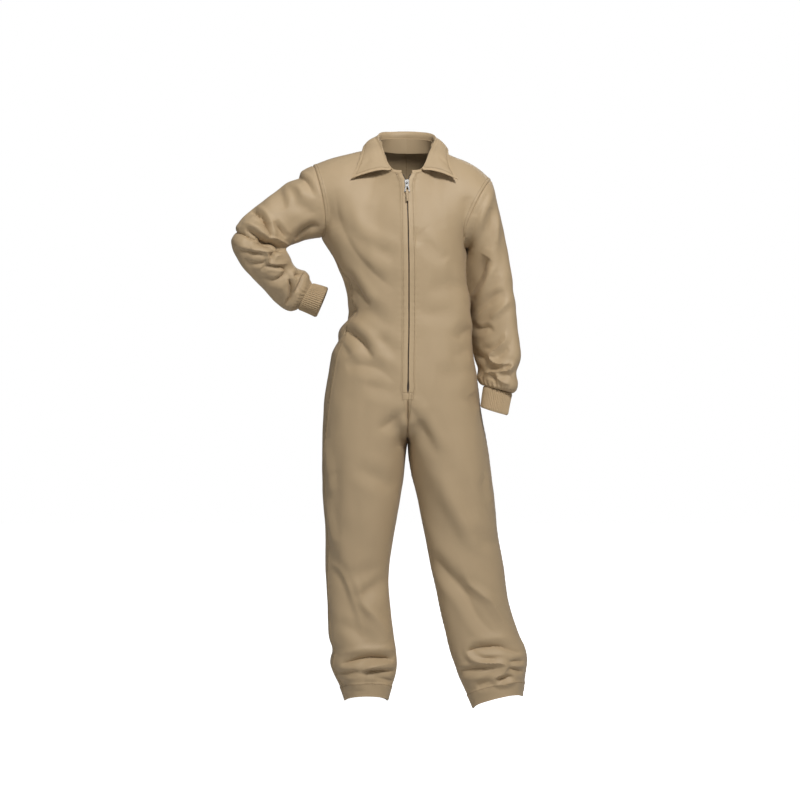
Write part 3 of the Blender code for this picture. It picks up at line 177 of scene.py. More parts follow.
Leg = namedtuple("Leg", "down inner outer front back seam side_y tilt")
LEGS = {
    "right": (
        Leg(589, 2, -156, -95, 98, 69, 4, 0),
        Leg(627, -2, -156, -90, 92, 69, 5, 0),
        Leg(665, -8, -154, -84, 87, 69, 6, 0),
        Leg(703, -15, -152, -78, 83, 69, 7, 0),
        Leg(741, -21, -149, -71, 79, 69, 8, 0),
        Leg(779, -27, -150, -65, 76, 69, 9, 0),
        Leg(817, -30, -149, -60, 73, 70, 9, 0),
        Leg(855, -28, -147, -57, 72, 70, 9, 0),
        Leg(893, -23, -146, -55, 71, 70, 9, 0),
        Leg(931, -18, -142, -54, 71, 70, 9, 0),
        Leg(952, -15, -136, -55, 71, 70, 9, 0),
        Leg(975, -13, -141, -55, 70, 70, 9, 0),
        Leg(1000, -16, -134, -51, 66, 71, 8, 0),
        Leg(1024, -24, -122, -47, 61, 73, 7, 0),
        Leg(1049, -31, -113, -44, 57, 75, 6, 0),
    ),
    "left": (
        Leg(589, 9.5, 162, -95, 98, 92, 4, 0),
        Leg(627, 17, 167, -90, 92, 92, 5, 0),
        Leg(665, 26.5, 171, -84, 87, 92, 6, 0.01),
        Leg(703, 34, 175, -78, 83, 92, 7, 0.025),
        Leg(741, 42.5, 180, -71, 79, 92, 8, 0.045),
        Leg(785, 50.5, 187.5, -64, 76, 92, 9, 0.07),
        Leg(825, 60, 192, -60, 73, 92, 9, 0.10),
        Leg(865, 69, 199, -57, 72, 92, 9, 0.13),
        Leg(905, 79, 209, -55, 71, 92, 9, 0.16),
        Leg(940, 88, 221, -54, 71, 92, 9, 0.19),
        Leg(965, 97, 232, -55, 71, 92, 9, 0.21),
        Leg(985, 104, 235, -54, 69, 92, 8, 0.22),
        Leg(1020, 118.5, 230, -48, 62, 92, 7, 0.24),
        Leg(1052, 132, 225, -44, 56, 92, 6, 0.247),
    ),
}
LEG_END = {side: table[-1].down for side, table in LEGS.items()}

TRUNK_POWER = 2.35        # squareness of a body section
LEG_POWER = 2.1           # squareness of a leg section
INSEAM_FORWARD = 12.0     # how far the inseam lies ahead of the mid-leg below the knee
HEM_LIFT = 15.0           # how far the front of a hem is raised over the shoe
SIDE_FADE = 110.0         # length over which the rows turn level below the underarm

# ---------------------------------------------------------------- neck, shoulders and armholes
NECK_X, NECK_Y = 5.0, 2.0
NECK_HALF_WIDTH = 62.0
NECK_FRONT, NECK_BACK = 73.0, 48.0
NECK_PIT, NECK_NAPE = 48.0, 4.0     # levels of the neck seam at the front and the back
NECK_CORNER = 170.0                 # angle of the front neck corner, counted from the nape
NECK_ROUND = 1.35                   # how round the yoke is from front to back beside the neck; 2 is an arc
NECK_SCOOP = 1.6                    # how soon the front of the neck seam drops to its pit
NECK_POINT_DOWN = {"right": -3.0, "left": 2.0}
SHOULDER_BULGE = {"right": 3.0, "left": 9.0}

Armhole = namedtuple("Armhole", "under under_down tip tip_down front back front_bow back_bow")
ARMHOLES = {
    "right": Armhole(-156, 167, -173, 31, 66, 68, 13, 8),
    "left": Armhole(118, 190, 165, 59, 64, 66, 16, 9),
}
BOW_SKEW = 0.35           # the armhole's hollow lies nearer the underarm

# ---------------------------------------------------------------- sleeves and cuffs
Ring = namedtuple("Ring", "under_x under_y under_down over_x over_y over_down depth")
SLEEVES = {
    "right": (
        Ring(-171, -6, 169, -188, -4, 38, 63),
        Ring(-188, -10, 172, -204.5, -8, 53.5, 58),
        Ring(-199, -15, 176.5, -227, -14, 69, 54),
        Ring(-208, -21, 180, -249.5, -21, 87, 51),
        Ring(-215, -28, 183, -272, -29, 104.5, 49),
        Ring(-219.5, -35, 186, -291.5, -38, 120, 47),
        Ring(-221.5, -40, 187.5, -308, -46, 137, 46),
        Ring(-222, -43, 189.5, -319.5, -52, 156, 45),
        Ring(-221.5, -45, 192.5, -324, -55, 175, 45),
        Ring(-219.5, -45, 196, -321.5, -55, 191.5, 44),
        Ring(-216.5, -43, 201, -311.5, -52, 210, 43),
        Ring(-213, -39, 208, -297, -46, 231, 42),
        Ring(-210, -34, 216, -282.5, -39, 246, 41),
        Ring(-203.5, -28, 224, -268, -32, 261, 40),
        Ring(-195.5, -22, 228, -253.5, -25, 277.5, 39),
        Ring(-187, -16, 230, -240.5, -18, 292, 38),
        Ring(-180, -11, 238, -228, -12, 302, 36),
        Ring(-178, -7, 249, -214.5, -8, 306, 32),
        Ring(-174, -5, 254, -201, -5, 302, 25),
    ),
    "left": (
        Ring(121, 5, 189, 170, -2, 72, 64),
        Ring(122.5, 9, 193, 175, -4, 93, 61),
        Ring(121.5, 13, 199, 180, -6, 114, 58),
        Ring(119.5, 17, 207, 184.5, -9, 135, 56),
        Ring(117, 20, 216, 188.5, -11, 155, 54),
        Ring(114.5, 22, 227, 192.5, -13, 176, 53),
        Ring(113, 23, 240, 197.5, -16, 200, 51),
        Ring(115.5, 23, 262, 202, -20, 228.5, 49),
        Ring(120.5, 22, 283, 206, -23, 253.5, 48),
        Ring(123.5, 20, 308, 209.5, -27, 283.5, 46),
        Ring(125, 18, 334, 212.5, -31, 315, 45),
        Ring(127, 15, 361, 215, -35, 344, 44),
        Ring(131, 10, 384, 218.5, -39, 369, 43),
        Ring(135.5, 4, 403, 220, -42, 388, 42),
        Ring(140.5, 0, 420, 216.5, -44, 407, 40),
        Ring(143, -7, 433, 214.5, -46, 425.5, 38),
        Ring(145, -13, 442, 214, -47, 444, 36),
        Ring(148.5, -19, 445.5, 211, -46, 455, 32),
        Ring(151, -24, 447, 203.5, -36, 461.5, 25),
    ),
}
CUFF_ENDS = {
    "right": Ring(-144.5, 12, 262, -167, 12, 317, 25.5),
    "left": Ring(145, -30, 487.5, 194.5, -42, 502, 25.5),
}

# ---------------------------------------------------------------- collar
Stand = namedtuple("Stand", "turn rise lean")
STAND = (
    Stand(0, 28, 2),
    Stand(30, 26, 4.5),
    Stand(60, 21, 8.5),
    Stand(90, 14, 10.5),
    Stand(104, 16, 13.5),
    Stand(124, 17, 13.5),
    Stand(138, 12, 9.5),
    Stand(149, 7, 6.5),
    Stand(156, 4.5, 5),
    Stand(170, 4.5, 4),
)

# `turn` is counted round the neck from the nape, the wearer's right negative
Fall = namedtuple("Fall", "turn roll_x roll_y roll_down edge_x edge_y edge_down")
FALL = (
    Fall(-155, -23.5, -63.5, 40.5, -98.5, -69, 58.5),
    Fall(-149, -27.5, -59, 34, -94, -64, 49),
    Fall(-138, -34, -49.5, 22, -87.5, -54, 34),
    Fall(-124, -39.5, -35, 4, -82, -38, 15),
    Fall(-103, -45.5, -13, -12.5, -78.5, -15, 0),
    Fall(-90, -50, 2, -23, -77, 2, -6),
    Fall(-62, -46, 24, -33, -71, 32, 3),
    Fall(-30, -26, 44, -37, -45, 58, 9),
    Fall(0, 5, 51, -38, 5, 66, 12),
    Fall(30, 35, 44, -36, 53, 58, 13),
    Fall(62, 56, 24, -30, 80, 32, 8),
    Fall(90, 60, 2, -21, 84, 2, 0),
    Fall(103, 55.5, -13, -9, 84, -15, 7),
    Fall(124, 49.5, -35, 4, 85, -38, 23),
    Fall(138, 44, -49.5, 19, 90, -54, 40),
    Fall(149, 38, -59, 31, 95, -64, 51.5),
    Fall(155, 33.5, -63.5, 39.5, 100, -69, 60),
)
ROLL_CLEAR = 0.7          # between the roll's near side and the stand's top
FALL_ROLL = 2.6           # half the width of the roll at the collar's fold
FALL_BULGE = 8.0          # how far the fall rounds out between its roll and its edge
FALL_FOOT = 1.5           # how far the fall reaches down outside the stand

# ---------------------------------------------------------------- zip
ZIP_START = 50.0
COIL_OUT = 2.4            # how far an open row of coil shows beside the folded edge
COIL_CLOSE = 67.5         # where the two rows of coil meet


# ================================================================ folds
# The rows below are folds. height is negative for a valley; sharp is 2 for a soft round fold and less for a
# crease; a path is given as it is seen from the face that the table is for, in x (or y) and down; lean makes
# the side on the path's left steep, and a fold with a rim runs on round the outline.
Fold = namedtuple("Fold", "height width sharp path lean rim", defaults=(0.0, False))
BODY_FRONT_FOLDS = (
    # the right breast, its long drag line to the zip, and the slack above the waist
    (-5.0, 16, 1.7, ((-129, 78), (-125, 124), (-103, 180), (-80, 213), (-46, 247), (-17, 266))),
    (2.2, 13, 2.0, ((-112, 150), (-88, 190), (-60, 218), (-28, 244))),
    (-2.6, 11, 1.9, ((-146, 88), (-138, 124), (-128, 150))),
    (-3.6, 14, 2.0, ((-108, 150), (-80, 176), (-46, 194), (-14, 210))),
    (-2.2, 17, 2.0, ((-60, 110), (-50, 150), (-30, 180))),
    (-6.4, 10, 1.5, ((-112, 236), (-92, 262), (-66, 296))),
    (1.9, 10, 2.0, ((-96, 244), (-76, 270), (-54, 290))),
    (-3.7, 14, 1.9, ((-104, 304), (-70, 308), (-23, 338))),
    (-7.2, 11, 1.5, ((-116, 338), (-88, 358), (-58, 394))),
    (2.2, 10, 2.0, ((-100, 334), (-72, 352), (-44, 384))),
    (-3.3, 11, 1.7, ((-122, 359), (-112, 376), (-102, 392))),
    (-3.2, 12, 1.9, ((-55, 355), (-34, 368), (-11, 390))),
    (-4.0, 12, 1.7, ((-108, 414), (-84, 406), (-46, 416), (-15, 440))),
    (-3.0, 13, 1.9, ((-74, 444), (-44, 450), (-15, 463))),
    # the left breast, waist and hip
    (-4.0, 14, 1.8, ((30, 156), (55, 185), (80, 214))),
    (2.6, 11, 2.0, ((38, 156), (58, 180), (78, 204))),
    (-2.4, 17, 2.0, ((76, 154), (97, 200), (110, 240))),
    (-2.3, 10, 1.8, ((18, 152), (22, 170), (26, 186))),
    (-3.0, 22, 2.0, ((46, 256), (80, 263), (106, 256))),
    (-2.0, 14, 2.0, ((20, 300), (56, 312), (96, 306))),
    (-3.6, 12, 1.7, ((98, 364), (112, 348), (125, 338))),
    (-2.3, 12, 1.9, ((88, 392), (108, 384), (128, 366))),
    (-2.6, 11, 1.8, ((118, 92), (120, 110), (122, 130))),
    (-3.0, 12, 1.8, ((124, 462), (134, 478), (141, 494))),
    (-1.9, 17, 2.0, ((60, 430), (92, 424), (126, 408))),
    # the fork
    (-5.0, 11, 1.7, ((5, 474), (24, 508), (42, 540), (62, 580))),
    (2.2, 11, 2.0, ((22, 480), (46, 520), (70, 560))),
    (-4.2, 10, 1.7, ((-46, 528), (-22, 514), (4, 490))),
    (-2.9, 11, 1.7, ((-8, 566), (-4, 556), (1, 544))),
    # the right leg
    (2.4, 14, 2.0, ((-150, 548), (-144, 580), (-138, 612))),
    (2.2, 14, 2.0, ((-144, 660), (-138, 700), (-134, 744))),
    (-3.0, 14, 1.9, ((-106, 806), (-80, 800), (-46, 788))),
    (-2.4, 13, 1.9, ((-86, 842), (-62, 826), (-34, 800))),
    (-4.6, 18, 1.8, ((-128, 788), (-104, 848), (-78, 900), (-56, 946))),
    (2.6, 16, 2.0, ((-104, 796), (-78, 856), (-50, 900), (-34, 932))),
    (-2.0, 19, 2.0, ((-110, 600), (-96, 680), (-90, 760))),
    (-8.6, 8.5, 1.5, ((-120, 974), (-97, 965), (-64, 960), (-33, 962), (-18, 967))),
    (4.4, 5.5, 1.6, ((-78, 985), (-64, 976), (-42, 973), (-20, 972))),
    (-5.6, 5.5, 1.5, ((-74, 986), (-60, 987), (-42, 987), (-16, 989)), 0.2),
    (-4.6, 5.5, 1.6, ((-132, 991), (-116, 992), (-100, 989), (-86, 985))),
    (3.0, 12, 2.0, ((-82, 990), (-84, 1006), (-86, 1022))),
    (-3.6, 6, 1.7, ((-56, 997), (-38, 1002), (-20, 1008))),
    (-3.4, 10, 1.9, ((-120, 998), (-116, 1016), (-114, 1030))),
    (-3.2, 14, 2.0, ((-92, 596), (-54, 616), (-18, 640))),
    (-3.0, 13, 2.0, ((-146, 734), (-132, 786), (-112, 826))),
    (-3.0, 13, 2.0, ((-134, 640), (-128, 690), (-126, 738))),
    (-3.0, 13, 2.0, ((-90, 850), (-64, 831), (-28, 812)), 0.25),
    (1.6, 6, 1.7, ((-147, 540), (-143, 600), (-136, 653))),
    (1.8, 6, 1.7, ((-149, 653), (-141, 700), (-132, 748))),
    (-1.8, 12, 2.0, ((-130, 556), (-128, 610), (-124, 664))),
    (2.6, 6, 1.6, ((-141, 781), (-124, 793), (-105, 824), (-91, 867), (-79, 907))),
    (2.6, 6, 1.6, ((-102, 798), (-84, 836), (-79, 855), (-50, 888), (-27, 919))),
    (-3.0, 10, 1.8, ((-126, 893), (-98, 907), (-74, 928))),
    # the left leg
    (-6.2, 15, 1.7, ((46, 762), (80, 800), (113, 836), (144, 888), (180, 920)), -0.2),
    (2.2, 12, 2.0, ((60, 746), (90, 782), (112, 812))),
    (-2.6, 19, 2.0, ((32, 660), (66, 718), (97, 782))),
    (4.2, 8, 1.5, ((111, 790), (120, 816), (142, 836), (163, 853), (177, 875), (194, 902), (214, 922))),
    (-2.4, 11, 1.8, ((150, 620), (156, 640), (164, 660))),
    (-2.0, 16, 2.0, ((92, 590), (116, 640), (136, 700))),
    (-7.0, 8, 1.4, ((116, 950), (140, 942), (177, 938), (226, 954))),
    (4.4, 5.5, 1.6, ((130, 930), (119, 946), (130, 963), (152, 968), (180, 969), (192, 976), (187, 988),
     (171, 998), (168, 1006))),
    (-5.4, 6.5, 1.6, ((103, 988), (124, 984), (144, 981), (174, 979)), 0.2),
    (-3.2, 4.5, 1.6, ((133, 955), (154, 961), (176, 962))),
    (-4.2, 5, 1.6, ((200, 968), (214, 968), (228, 971))),
    (-4.4, 5, 1.6, ((197, 981), (212, 985), (227, 991))),
    (-4.0, 4.5, 1.6, ((174, 1004), (190, 1001), (206, 996))),
    (3.2, 6, 1.9, ((168, 1004), (188, 1010), (212, 1006))),
    (-4.0, 7, 1.7, ((136, 1016), (150, 1011), (164, 1003))),
    (-2.8, 18, 2.0, ((16, 570), (40, 640), (82, 712), (124, 768))),
    (3.0, 13, 2.0, ((56, 600), (100, 682), (140, 752))),
    (-3.0, 12, 2.0, ((130, 716), (156, 738), (184, 748))),
    (3.0, 6, 1.8, ((166, 604), (160, 636), (172, 680))),
)
BODY_BACK_FOLDS = (
    # slack above the waist, drag lines from the armholes, seat, knees and ankles
    (-7.4, 15, 1.6, ((-128, 300), (-60, 326), (0, 330), (66, 320), (116, 300))),
    (4.6, 14, 1.9, ((-116, 276), (-50, 300), (20, 304), (104, 278))),
    (-4.6, 12, 1.7, ((-96, 350), (-50, 358), (-10, 352))),
    (-4.2, 12, 1.7, ((24, 350), (66, 360), (112, 346))),
    (-5.6, 14, 1.8, ((-140, 110), (-100, 186), (-54, 234), (-10, 258))),
    (3.0, 12, 2.0, ((-120, 100), (-82, 170), (-40, 214))),
    (-5.6, 14, 1.8, ((128, 130), (98, 196), (56, 238), (16, 262))),
    (-3.4, 16, 2.0, ((-60, 60), (-52, 120), (-40, 170))),
    (-3.4, 16, 2.0, ((72, 66), (62, 120), (50, 170))),
    (-7.0, 14, 1.6, ((8, 480), (-34, 530), (-84, 566))),
    (-7.0, 14, 1.6, ((8, 480), (54, 530), (100, 570))),
    (-4.0, 13, 1.8, ((-20, 574), (-60, 590), (-110, 596))),
    (-4.0, 13, 1.8, ((40, 576), (80, 592), (126, 600))),
    (-5.0, 14, 1.7, ((-122, 704), (-88, 722), (-48, 716))),
    (3.0, 11, 1.9, ((-122, 732), (-90, 750), (-50, 742))),
    (-3.6, 12, 1.8, ((-118, 768), (-88, 780), (-56, 770))),
    (-5.0, 14, 1.7, ((70, 712), (110, 728), (150, 710))),
    (3.0, 11, 1.9, ((76, 742), (112, 756), (156, 740))),
    (-3.6, 12, 1.8, ((84, 776), (120, 786), (162, 772))),
    (-6.6, 9, 1.5, ((-130, 966), (-80, 950), (-26, 962))),
    (4.4, 8, 1.8, ((-132, 984), (-80, 972), (-24, 984))),
    (-4.4, 7, 1.5, ((-120, 1000), (-78, 990), (-30, 1002))),
    (-6.6, 9, 1.5, ((108, 962), (160, 946), (218, 950))),
    (4.4, 8, 1.8, ((112, 984), (164, 966), (222, 968))),
    (-4.4, 7, 1.5, ((116, 1000), (166, 984), (222, 988))),
)
BODY_LEFT_FOLDS = (
    # the side of the trunk that faces the hanging arm
    (-5.0, 26, 2.0, ((14, 230), (14, 280), (12, 340), (8, 424))),
    (-3.6, 12, 1.7, ((-40, 300), (0, 322), (44, 310))),
)
BODY_RIGHT_FOLDS = (
    (-4.8, 13, 1.6, ((-60, 300), (-10, 322), (50, 314))),
    (-3.8, 12, 1.7, ((-56, 350), (0, 362), (48, 352))),
)
BENT_ARM_FRONT_FOLDS = (
    (-4.4, 8, 1.6, ((-214, 40), (-202, 52), (-188, 58), (-178, 70), (-166, 94)), 0.3, True),
    (3.0, 8, 1.9, ((-214, 66), (-196, 76), (-186, 96))),
    (-4.2, 10, 1.8, ((-236, 74), (-228, 96), (-222, 118)), 0.3),
    (-3.0, 11, 2.0, ((-214, 106), (-188, 112), (-164, 130))),
    (-8.4, 8, 1.5, ((-298, 117), (-284, 118), (-268, 127), (-257, 144), (-250, 160), (-246, 172)), 0.35),
    (6.0, 7, 1.9, ((-302, 143), (-284, 149), (-264, 154), (-250, 166))),
    (-4.0, 12, 2.0, ((-300, 176), (-270, 184), (-236, 194))),
    (4.2, 6, 1.8, ((-249, 138), (-245, 152), (-242, 168))),
    (-14.0, 6, 1.3, ((-296, 154), (-276, 163), (-262, 172), (-250, 177), (-238, 180), (-222, 189),
     (-206, 200)), 0.35),
    (-5.4, 7, 1.4, ((-330, 146), (-318, 157), (-302, 162), (-286, 170), (-264, 173), (-246, 178)), 0.3, True),
    (-4.8, 7, 1.6, ((-242, 139), (-230, 154), (-220, 170)), 0.3),
    (-7.0, 7, 1.4, ((-204, 176), (-190, 162), (-174, 151), (-160, 147)), -0.3),
    (-4.6, 5, 1.5, ((-284, 180), (-266, 178), (-248, 186), (-238, 194)), 0.3),
    (3.6, 4, 1.7, ((-286, 188), (-274, 194), (-252, 196), (-240, 190))),
    (-4.6, 6, 1.5, ((-318, 192), (-296, 197), (-276, 200), (-262, 198)), 0.3),
    (-4.2, 5, 1.5, ((-300, 210), (-281, 219), (-264, 218), (-253, 209)), -0.2),
    (4.2, 4, 1.6, ((-256, 198), (-252, 208), (-254, 218))),
    (4.0, 4, 1.6, ((-252, 218), (-236, 219), (-218, 218))),
    (-5.2, 5, 1.5, ((-249, 216), (-246, 205), (-237, 196), (-224, 193)), -0.3),
    (-4.8, 5, 1.5, ((-268, 230), (-252, 223), (-228, 224), (-219, 231), (-227, 242)), -0.2),
    (-4.6, 6, 1.5, ((-262, 246), (-242, 250), (-226, 242), (-216, 232)), 0.2),
    (-6.4, 5, 1.4, ((-215, 246), (-211, 262), (-213, 280), (-224, 296)), -0.3),
    (4.0, 4, 1.6, ((-209, 236), (-205, 254), (-206, 272))),
    (-5.6, 4, 1.4, ((-187, 233), (-192, 250), (-204, 272)), -0.2),
    (-3.8, 4, 1.5, ((-207, 246), (-201, 237), (-191, 235))),
    (3.4, 4, 1.7, ((-306, 218), (-288, 234), (-278, 249), (-264, 256))),
    (-3.2, 9, 1.9, ((-256, 262), (-240, 278), (-230, 292))),
)
BENT_ARM_BACK_FOLDS = (
    (-7.4, 9, 1.5, ((-304, 138), (-266, 162), (-232, 178))),
    (4.2, 8, 1.8, ((-306, 160), (-270, 178), (-236, 188))),
    (-7.0, 8, 1.5, ((-312, 204), (-272, 200), (-232, 192))),
    (-4.0, 9, 1.7, ((-226, 92), (-200, 112), (-176, 138))),
    (-5.0, 8, 1.5, ((-272, 228), (-240, 224), (-206, 216))),
    (-5.0, 9, 1.6, ((-270, 252), (-240, 246), (-206, 234))),
)
HANGING_ARM_FRONT_FOLDS = (
    (-3.4, 9, 1.9, ((166, 112), (162, 150), (158, 192))),
    (3.0, 5, 1.8, ((175, 112), (175, 144), (175, 180))),
    (3.0, 8, 1.9, ((150, 92), (134, 150), (124, 200))),
    (-3.6, 7, 1.7, ((158, 84), (142, 116), (128, 160), (120, 204))),
    (-3.0, 12, 2.0, ((190, 150), (186, 196), (178, 240))),
    (-9.0, 14, 1.6, ((158, 206), (146, 224), (134, 248), (120, 286)), 0.25),
    (3.4, 7, 1.8, ((163, 222), (155, 253), (132, 283))),
    (-4.6, 9, 1.7, ((190, 270), (168, 278), (151, 298), (134, 326)), -0.3),
    (3.4, 6, 1.6, ((160, 293), (142, 314), (133, 327))),
    (3.4, 6, 1.6, ((198, 285), (184, 301), (163, 321))),
    (-3.2, 6, 1.6, ((131, 336), (146, 339), (156, 336), (168, 344)), 0.3),
    (4.4, 5.5, 1.5, ((190, 346), (190, 360), (180, 372), (167, 384), (163, 392), (168, 400), (178, 405),
     (188, 405), (198, 404))),
    (4.0, 5, 1.5, ((198, 404), (203, 408), (198, 415), (188, 419), (168, 421), (151, 422))),
    (-2.6, 6, 1.7, ((145, 376), (160, 378), (173, 373), (182, 364))),
    (-2.6, 6, 1.8, ((173, 392), (184, 384), (195, 376))),
    (-2.8, 4, 1.6, ((186, 415), (194, 411), (199, 407))),
    (-3.2, 6, 1.7, ((157, 409), (172, 414), (186, 412))),
    (-3.8, 8, 1.7, ((131, 387), (145, 393), (163, 404))),
    (-3.4, 6, 1.7, ((176, 426), (191, 425), (205, 434), (213, 445))),
    (3.0, 5, 1.6, ((174, 424), (176, 432), (187, 440), (197, 444))),
    (-3.4, 4.5, 1.6, ((157, 423), (168, 431), (171, 439))),
)
HANGING_ARM_INNER_FOLDS = (
    (4.6, 10, 1.9, ((-30, 436), (-8, 432), (14, 434)), 0.0, True),
    (5.0, 24, 2.0, ((0, 180), (8, 232), (14, 290))),
)
HANGING_ARM_BACK_FOLDS = (
    (-6.4, 10, 1.6, ((190, 288), (168, 306), (140, 304))),
    (4.0, 9, 1.9, ((192, 308), (172, 326), (144, 326))),
    (-4.6, 9, 1.7, ((200, 382), (178, 394), (148, 388))),
    (4.6, 7, 1.8, ((200, 402), (180, 414), (150, 408))),
    (-4.6, 7, 1.5, ((200, 424), (182, 434), (154, 428))),
    (-3.8, 10, 1.8, ((172, 90), (166, 140), (152, 196))),
)
HANGING_ARM_OUTER_FOLDS = (
    (-2.0, 14, 1.8, ((-50, 250), (-20, 268), (16, 256))),
    (-3.6, 12, 1.8, ((-70, 418), (-40, 424), (-6, 416))),
)
FOLDS = {
    ("body", "front"): BODY_FRONT_FOLDS,
    ("body", "back"): BODY_BACK_FOLDS,
    ("body", "left"): BODY_LEFT_FOLDS,
    ("body", "right"): BODY_RIGHT_FOLDS,
    ("sleeve_right", "front"): BENT_ARM_FRONT_FOLDS,
    ("sleeve_right", "back"): BENT_ARM_BACK_FOLDS,
    ("sleeve_left", "front"): HANGING_ARM_FRONT_FOLDS,
    ("sleeve_left", "right"): HANGING_ARM_INNER_FOLDS,
    ("sleeve_left", "back"): HANGING_ARM_BACK_FOLDS,
    ("sleeve_left", "left"): HANGING_ARM_OUTER_FOLDS,
}
FACES = {
    "front": ((0, -1, 0), 0),
    "back": ((0, 1, 0), 0),
    "right": ((-1, 0, 0), 1),
    "left": ((1, 0, 0), 1),
}
ZIP_GUARD = (4.0, 16.0)   # folds fade out over this distance from the centre front
FOLD_REACH = 3.2          # widths of a fold past its path where it is still worked out
RIM_TURN = 0.6            # how much farther round the outline a fold with a rim runs
FACING = (0.05, 0.5)      # a fold rises over this range of the surface's turn towards its face
TAPER_LEAST, TAPER_POWER = 0.02, 0.6          # how a fold thins towards its two ends
BANK, BANK_OFF, BANK_WIDTH = 0.22, 2.0, 0.75  # the low bank on both sides of a fold
CRISP_FROM, CRISP_RANGE = 1.8, 0.3            # sharpness below which a fold has a crisp line
GOLDEN_ANGLE, SLACK_WAVES = 2.39996, 7        # of the crossed waves of slack cloth
SLACK_RISE = 0.6          # slack cloth waves less up and down
SLACK_PITCH = (0.75, 0.09)                    # share of the size for the first wave, and more for each
SLACK_PHASE, SLACK_SIZE = 1.7, 3.2            # between two waves, and the size of their sum
SUIT_SLACK = ((1, 62.0, 0.4), (0.45, 27.0, 2.2))  # share, size and turn of the suit's two layers


# ================================================================ how it is made up
STAND_SHARE, FALL_SHARE = 1.15, 1.3   # thickness of the stand and the fall against the cloth's
RAISE = 1.1               # of a double layer over a single one
FELL, FELL_HEIGHT = 7.5, 0.7         # width and lift of a seam allowance that is stitched down
ARMHOLE_FELL = 6.5
BOX_START, BOX_END = 458.0, 471.0     # the stitched box below the zip
BOX_HALF = 10.0
BOX_STEP = 0.9            # between rows there
BOX_INSIDE = 0.8          # from the folded edge to the end of a row across
BOX_POINTS = 8
BOX_COLUMNS = slice(2, 12)           # columns beside the zip that say which way a front faces
STITCH_GROOVE, STITCH_PRESS = 0.55, 1.0
GATHERS = 28              # small pleats where a sleeve is sewn into its cuff
GATHER_DEPTH = 1.2
GATHER_REACH = 26.0
GATHER_START, GATHER_FULL = (0.5, 5.0), 8.0   # they rise over the first range, and fade from the second
SEAM_DEPTH, SEAM_WIDTH, SEAM_POWER = 2.0, 2.4, 1.5  # how the cloth turns in at a seam
COLLAR_MARGIN = 6.5
MARGIN_GROOVE, MARGIN_PRESS = 0.6, 1.1  # depth and width of the groove along it
CREASE_FACING = (0.1, 0.5)  # turn towards the front over which a collar crease shows
COLLAR_SLACK = (34.0, 1.3)  # size and turn of the collar's soft unevenness
COLLAR_SLACK_SHARE, COLLAR_SLACK_EDGE = 0.5, 10
STAND_LINES = 9
FALL_COLUMNS = 161
FALL_SHARES = (0.25, 0.5, 0.75)     # of the way from the roll to the edge
FALL_MIDDLE = 0.4         # where the fall rounds out most on its way down
FALL_OUT, FALL_UP = 0.5, 0.85        # direction in which it rounds out
CUFF_LINES = (0.0, 0.03, 0.07, 0.12, 0.2, 0.3, 0.4, 0.5, 0.6, 0.7, 0.8, 0.88, 0.93, 0.96, 0.985, 1.0)
CUFF_INSET = 0.2
RIB_COLUMNS = 6
RIB_ROUND = 0.7           # roundness of a rib; 1 is a plain wave
RIB_AT_ENDS = 0.25        # share of a rib's height at the cuff's two ends
CUFF_START, CUFF_TURN = 0.08, 0.93   # shares of the cuff where its rolled ends stop and start
CUFF_END_INSET = 0.5
CUFF_SWAY, SWAY_WAVES, SWAY_SHIFT = 0.35, 3, 4   # of the ribs from round to round
RIB_INSIDE = 0.4          # share of a rib's height that shows inside
KNIT_THICK = 1.9
STRIP_COLUMNS = 4
Pucker = namedtuple("Pucker", "pitch depth")
PUCKERS = {
    "placket": Pucker(12.0, 0.4),
    "side": Pucker(11.0, 0.5),
    "hem": Pucker(13.0, 0.3),
    "back_side": Pucker(12.0, 0.45),
    "centre_back": Pucker(11.0, 0.45),
    "armhole": Pucker(10.0, 0.34),
    "collar": Pucker(11.0, 0.16),
}
ROUNDED = 0.35            # share of the thickness that a free edge rounds out
SHARP_ANGLE = 50

ThreadRing = namedtuple("ThreadRing", "place rise size")
THREAD_FORM = (
    ThreadRing(0.0, -0.7, 0.55), ThreadRing(0.22, 0.55, 1.0),
    ThreadRing(0.78, 0.55, 1.0), ThreadRing(1.0, -0.7, 0.55),
)
THREAD_SIDES = 5
TOOTH_SIDES = 6
ToothRing = namedtuple("ToothRing", "place size rise")
TOOTH_FORM = (
    ToothRing(-1, 0.45, -0.1), ToothRing(-0.7, 0.9, 0.12), ToothRing(0, 1.0, 0.2),
    ToothRing(0.7, 1.0, 0.16), ToothRing(1, 0.55, 0.0),
)
COIL_DEEP = 2.3           # of the teeth's middle below the cloth's face
TAPE_DEEP = 2.9
TAPE_THICK = 0.7
TOOTH_SHIFT = 0.28        # share of its length by which a tooth reaches over the middle
OVERHANG_SHARE = 0.92     # of the opening that the tape may fill above the slider
TAPE_ROWS = 120           # rows of points along a tape
TAPE_BELOW = 5            # how far the tapes run on below the zip
METAL_EDGE = 0.00018      # how far the metal edges are rounded, in metres
WEAR_WIDTH = 3.0          # how far the paler wear reaches in from an edge

CREASE_SHARE, CREASE_WIDTH, CREASE_POWER = 0.45, 0.24, 1.4  # the sharp line along a crisp fold

Crease = namedtuple("Crease", "start end height width")
COLLAR_CREASES = (
    Crease((68, 19), (88, 38), -1.3, 3.2),
    Crease((60, 26), (78, 44), 0.7, 4.5),
    Crease((-66, 24), (-84, 44), -0.8, 4.0),
    Crease((-50, 34), (-62, 48), -0.6, 3.5),
)

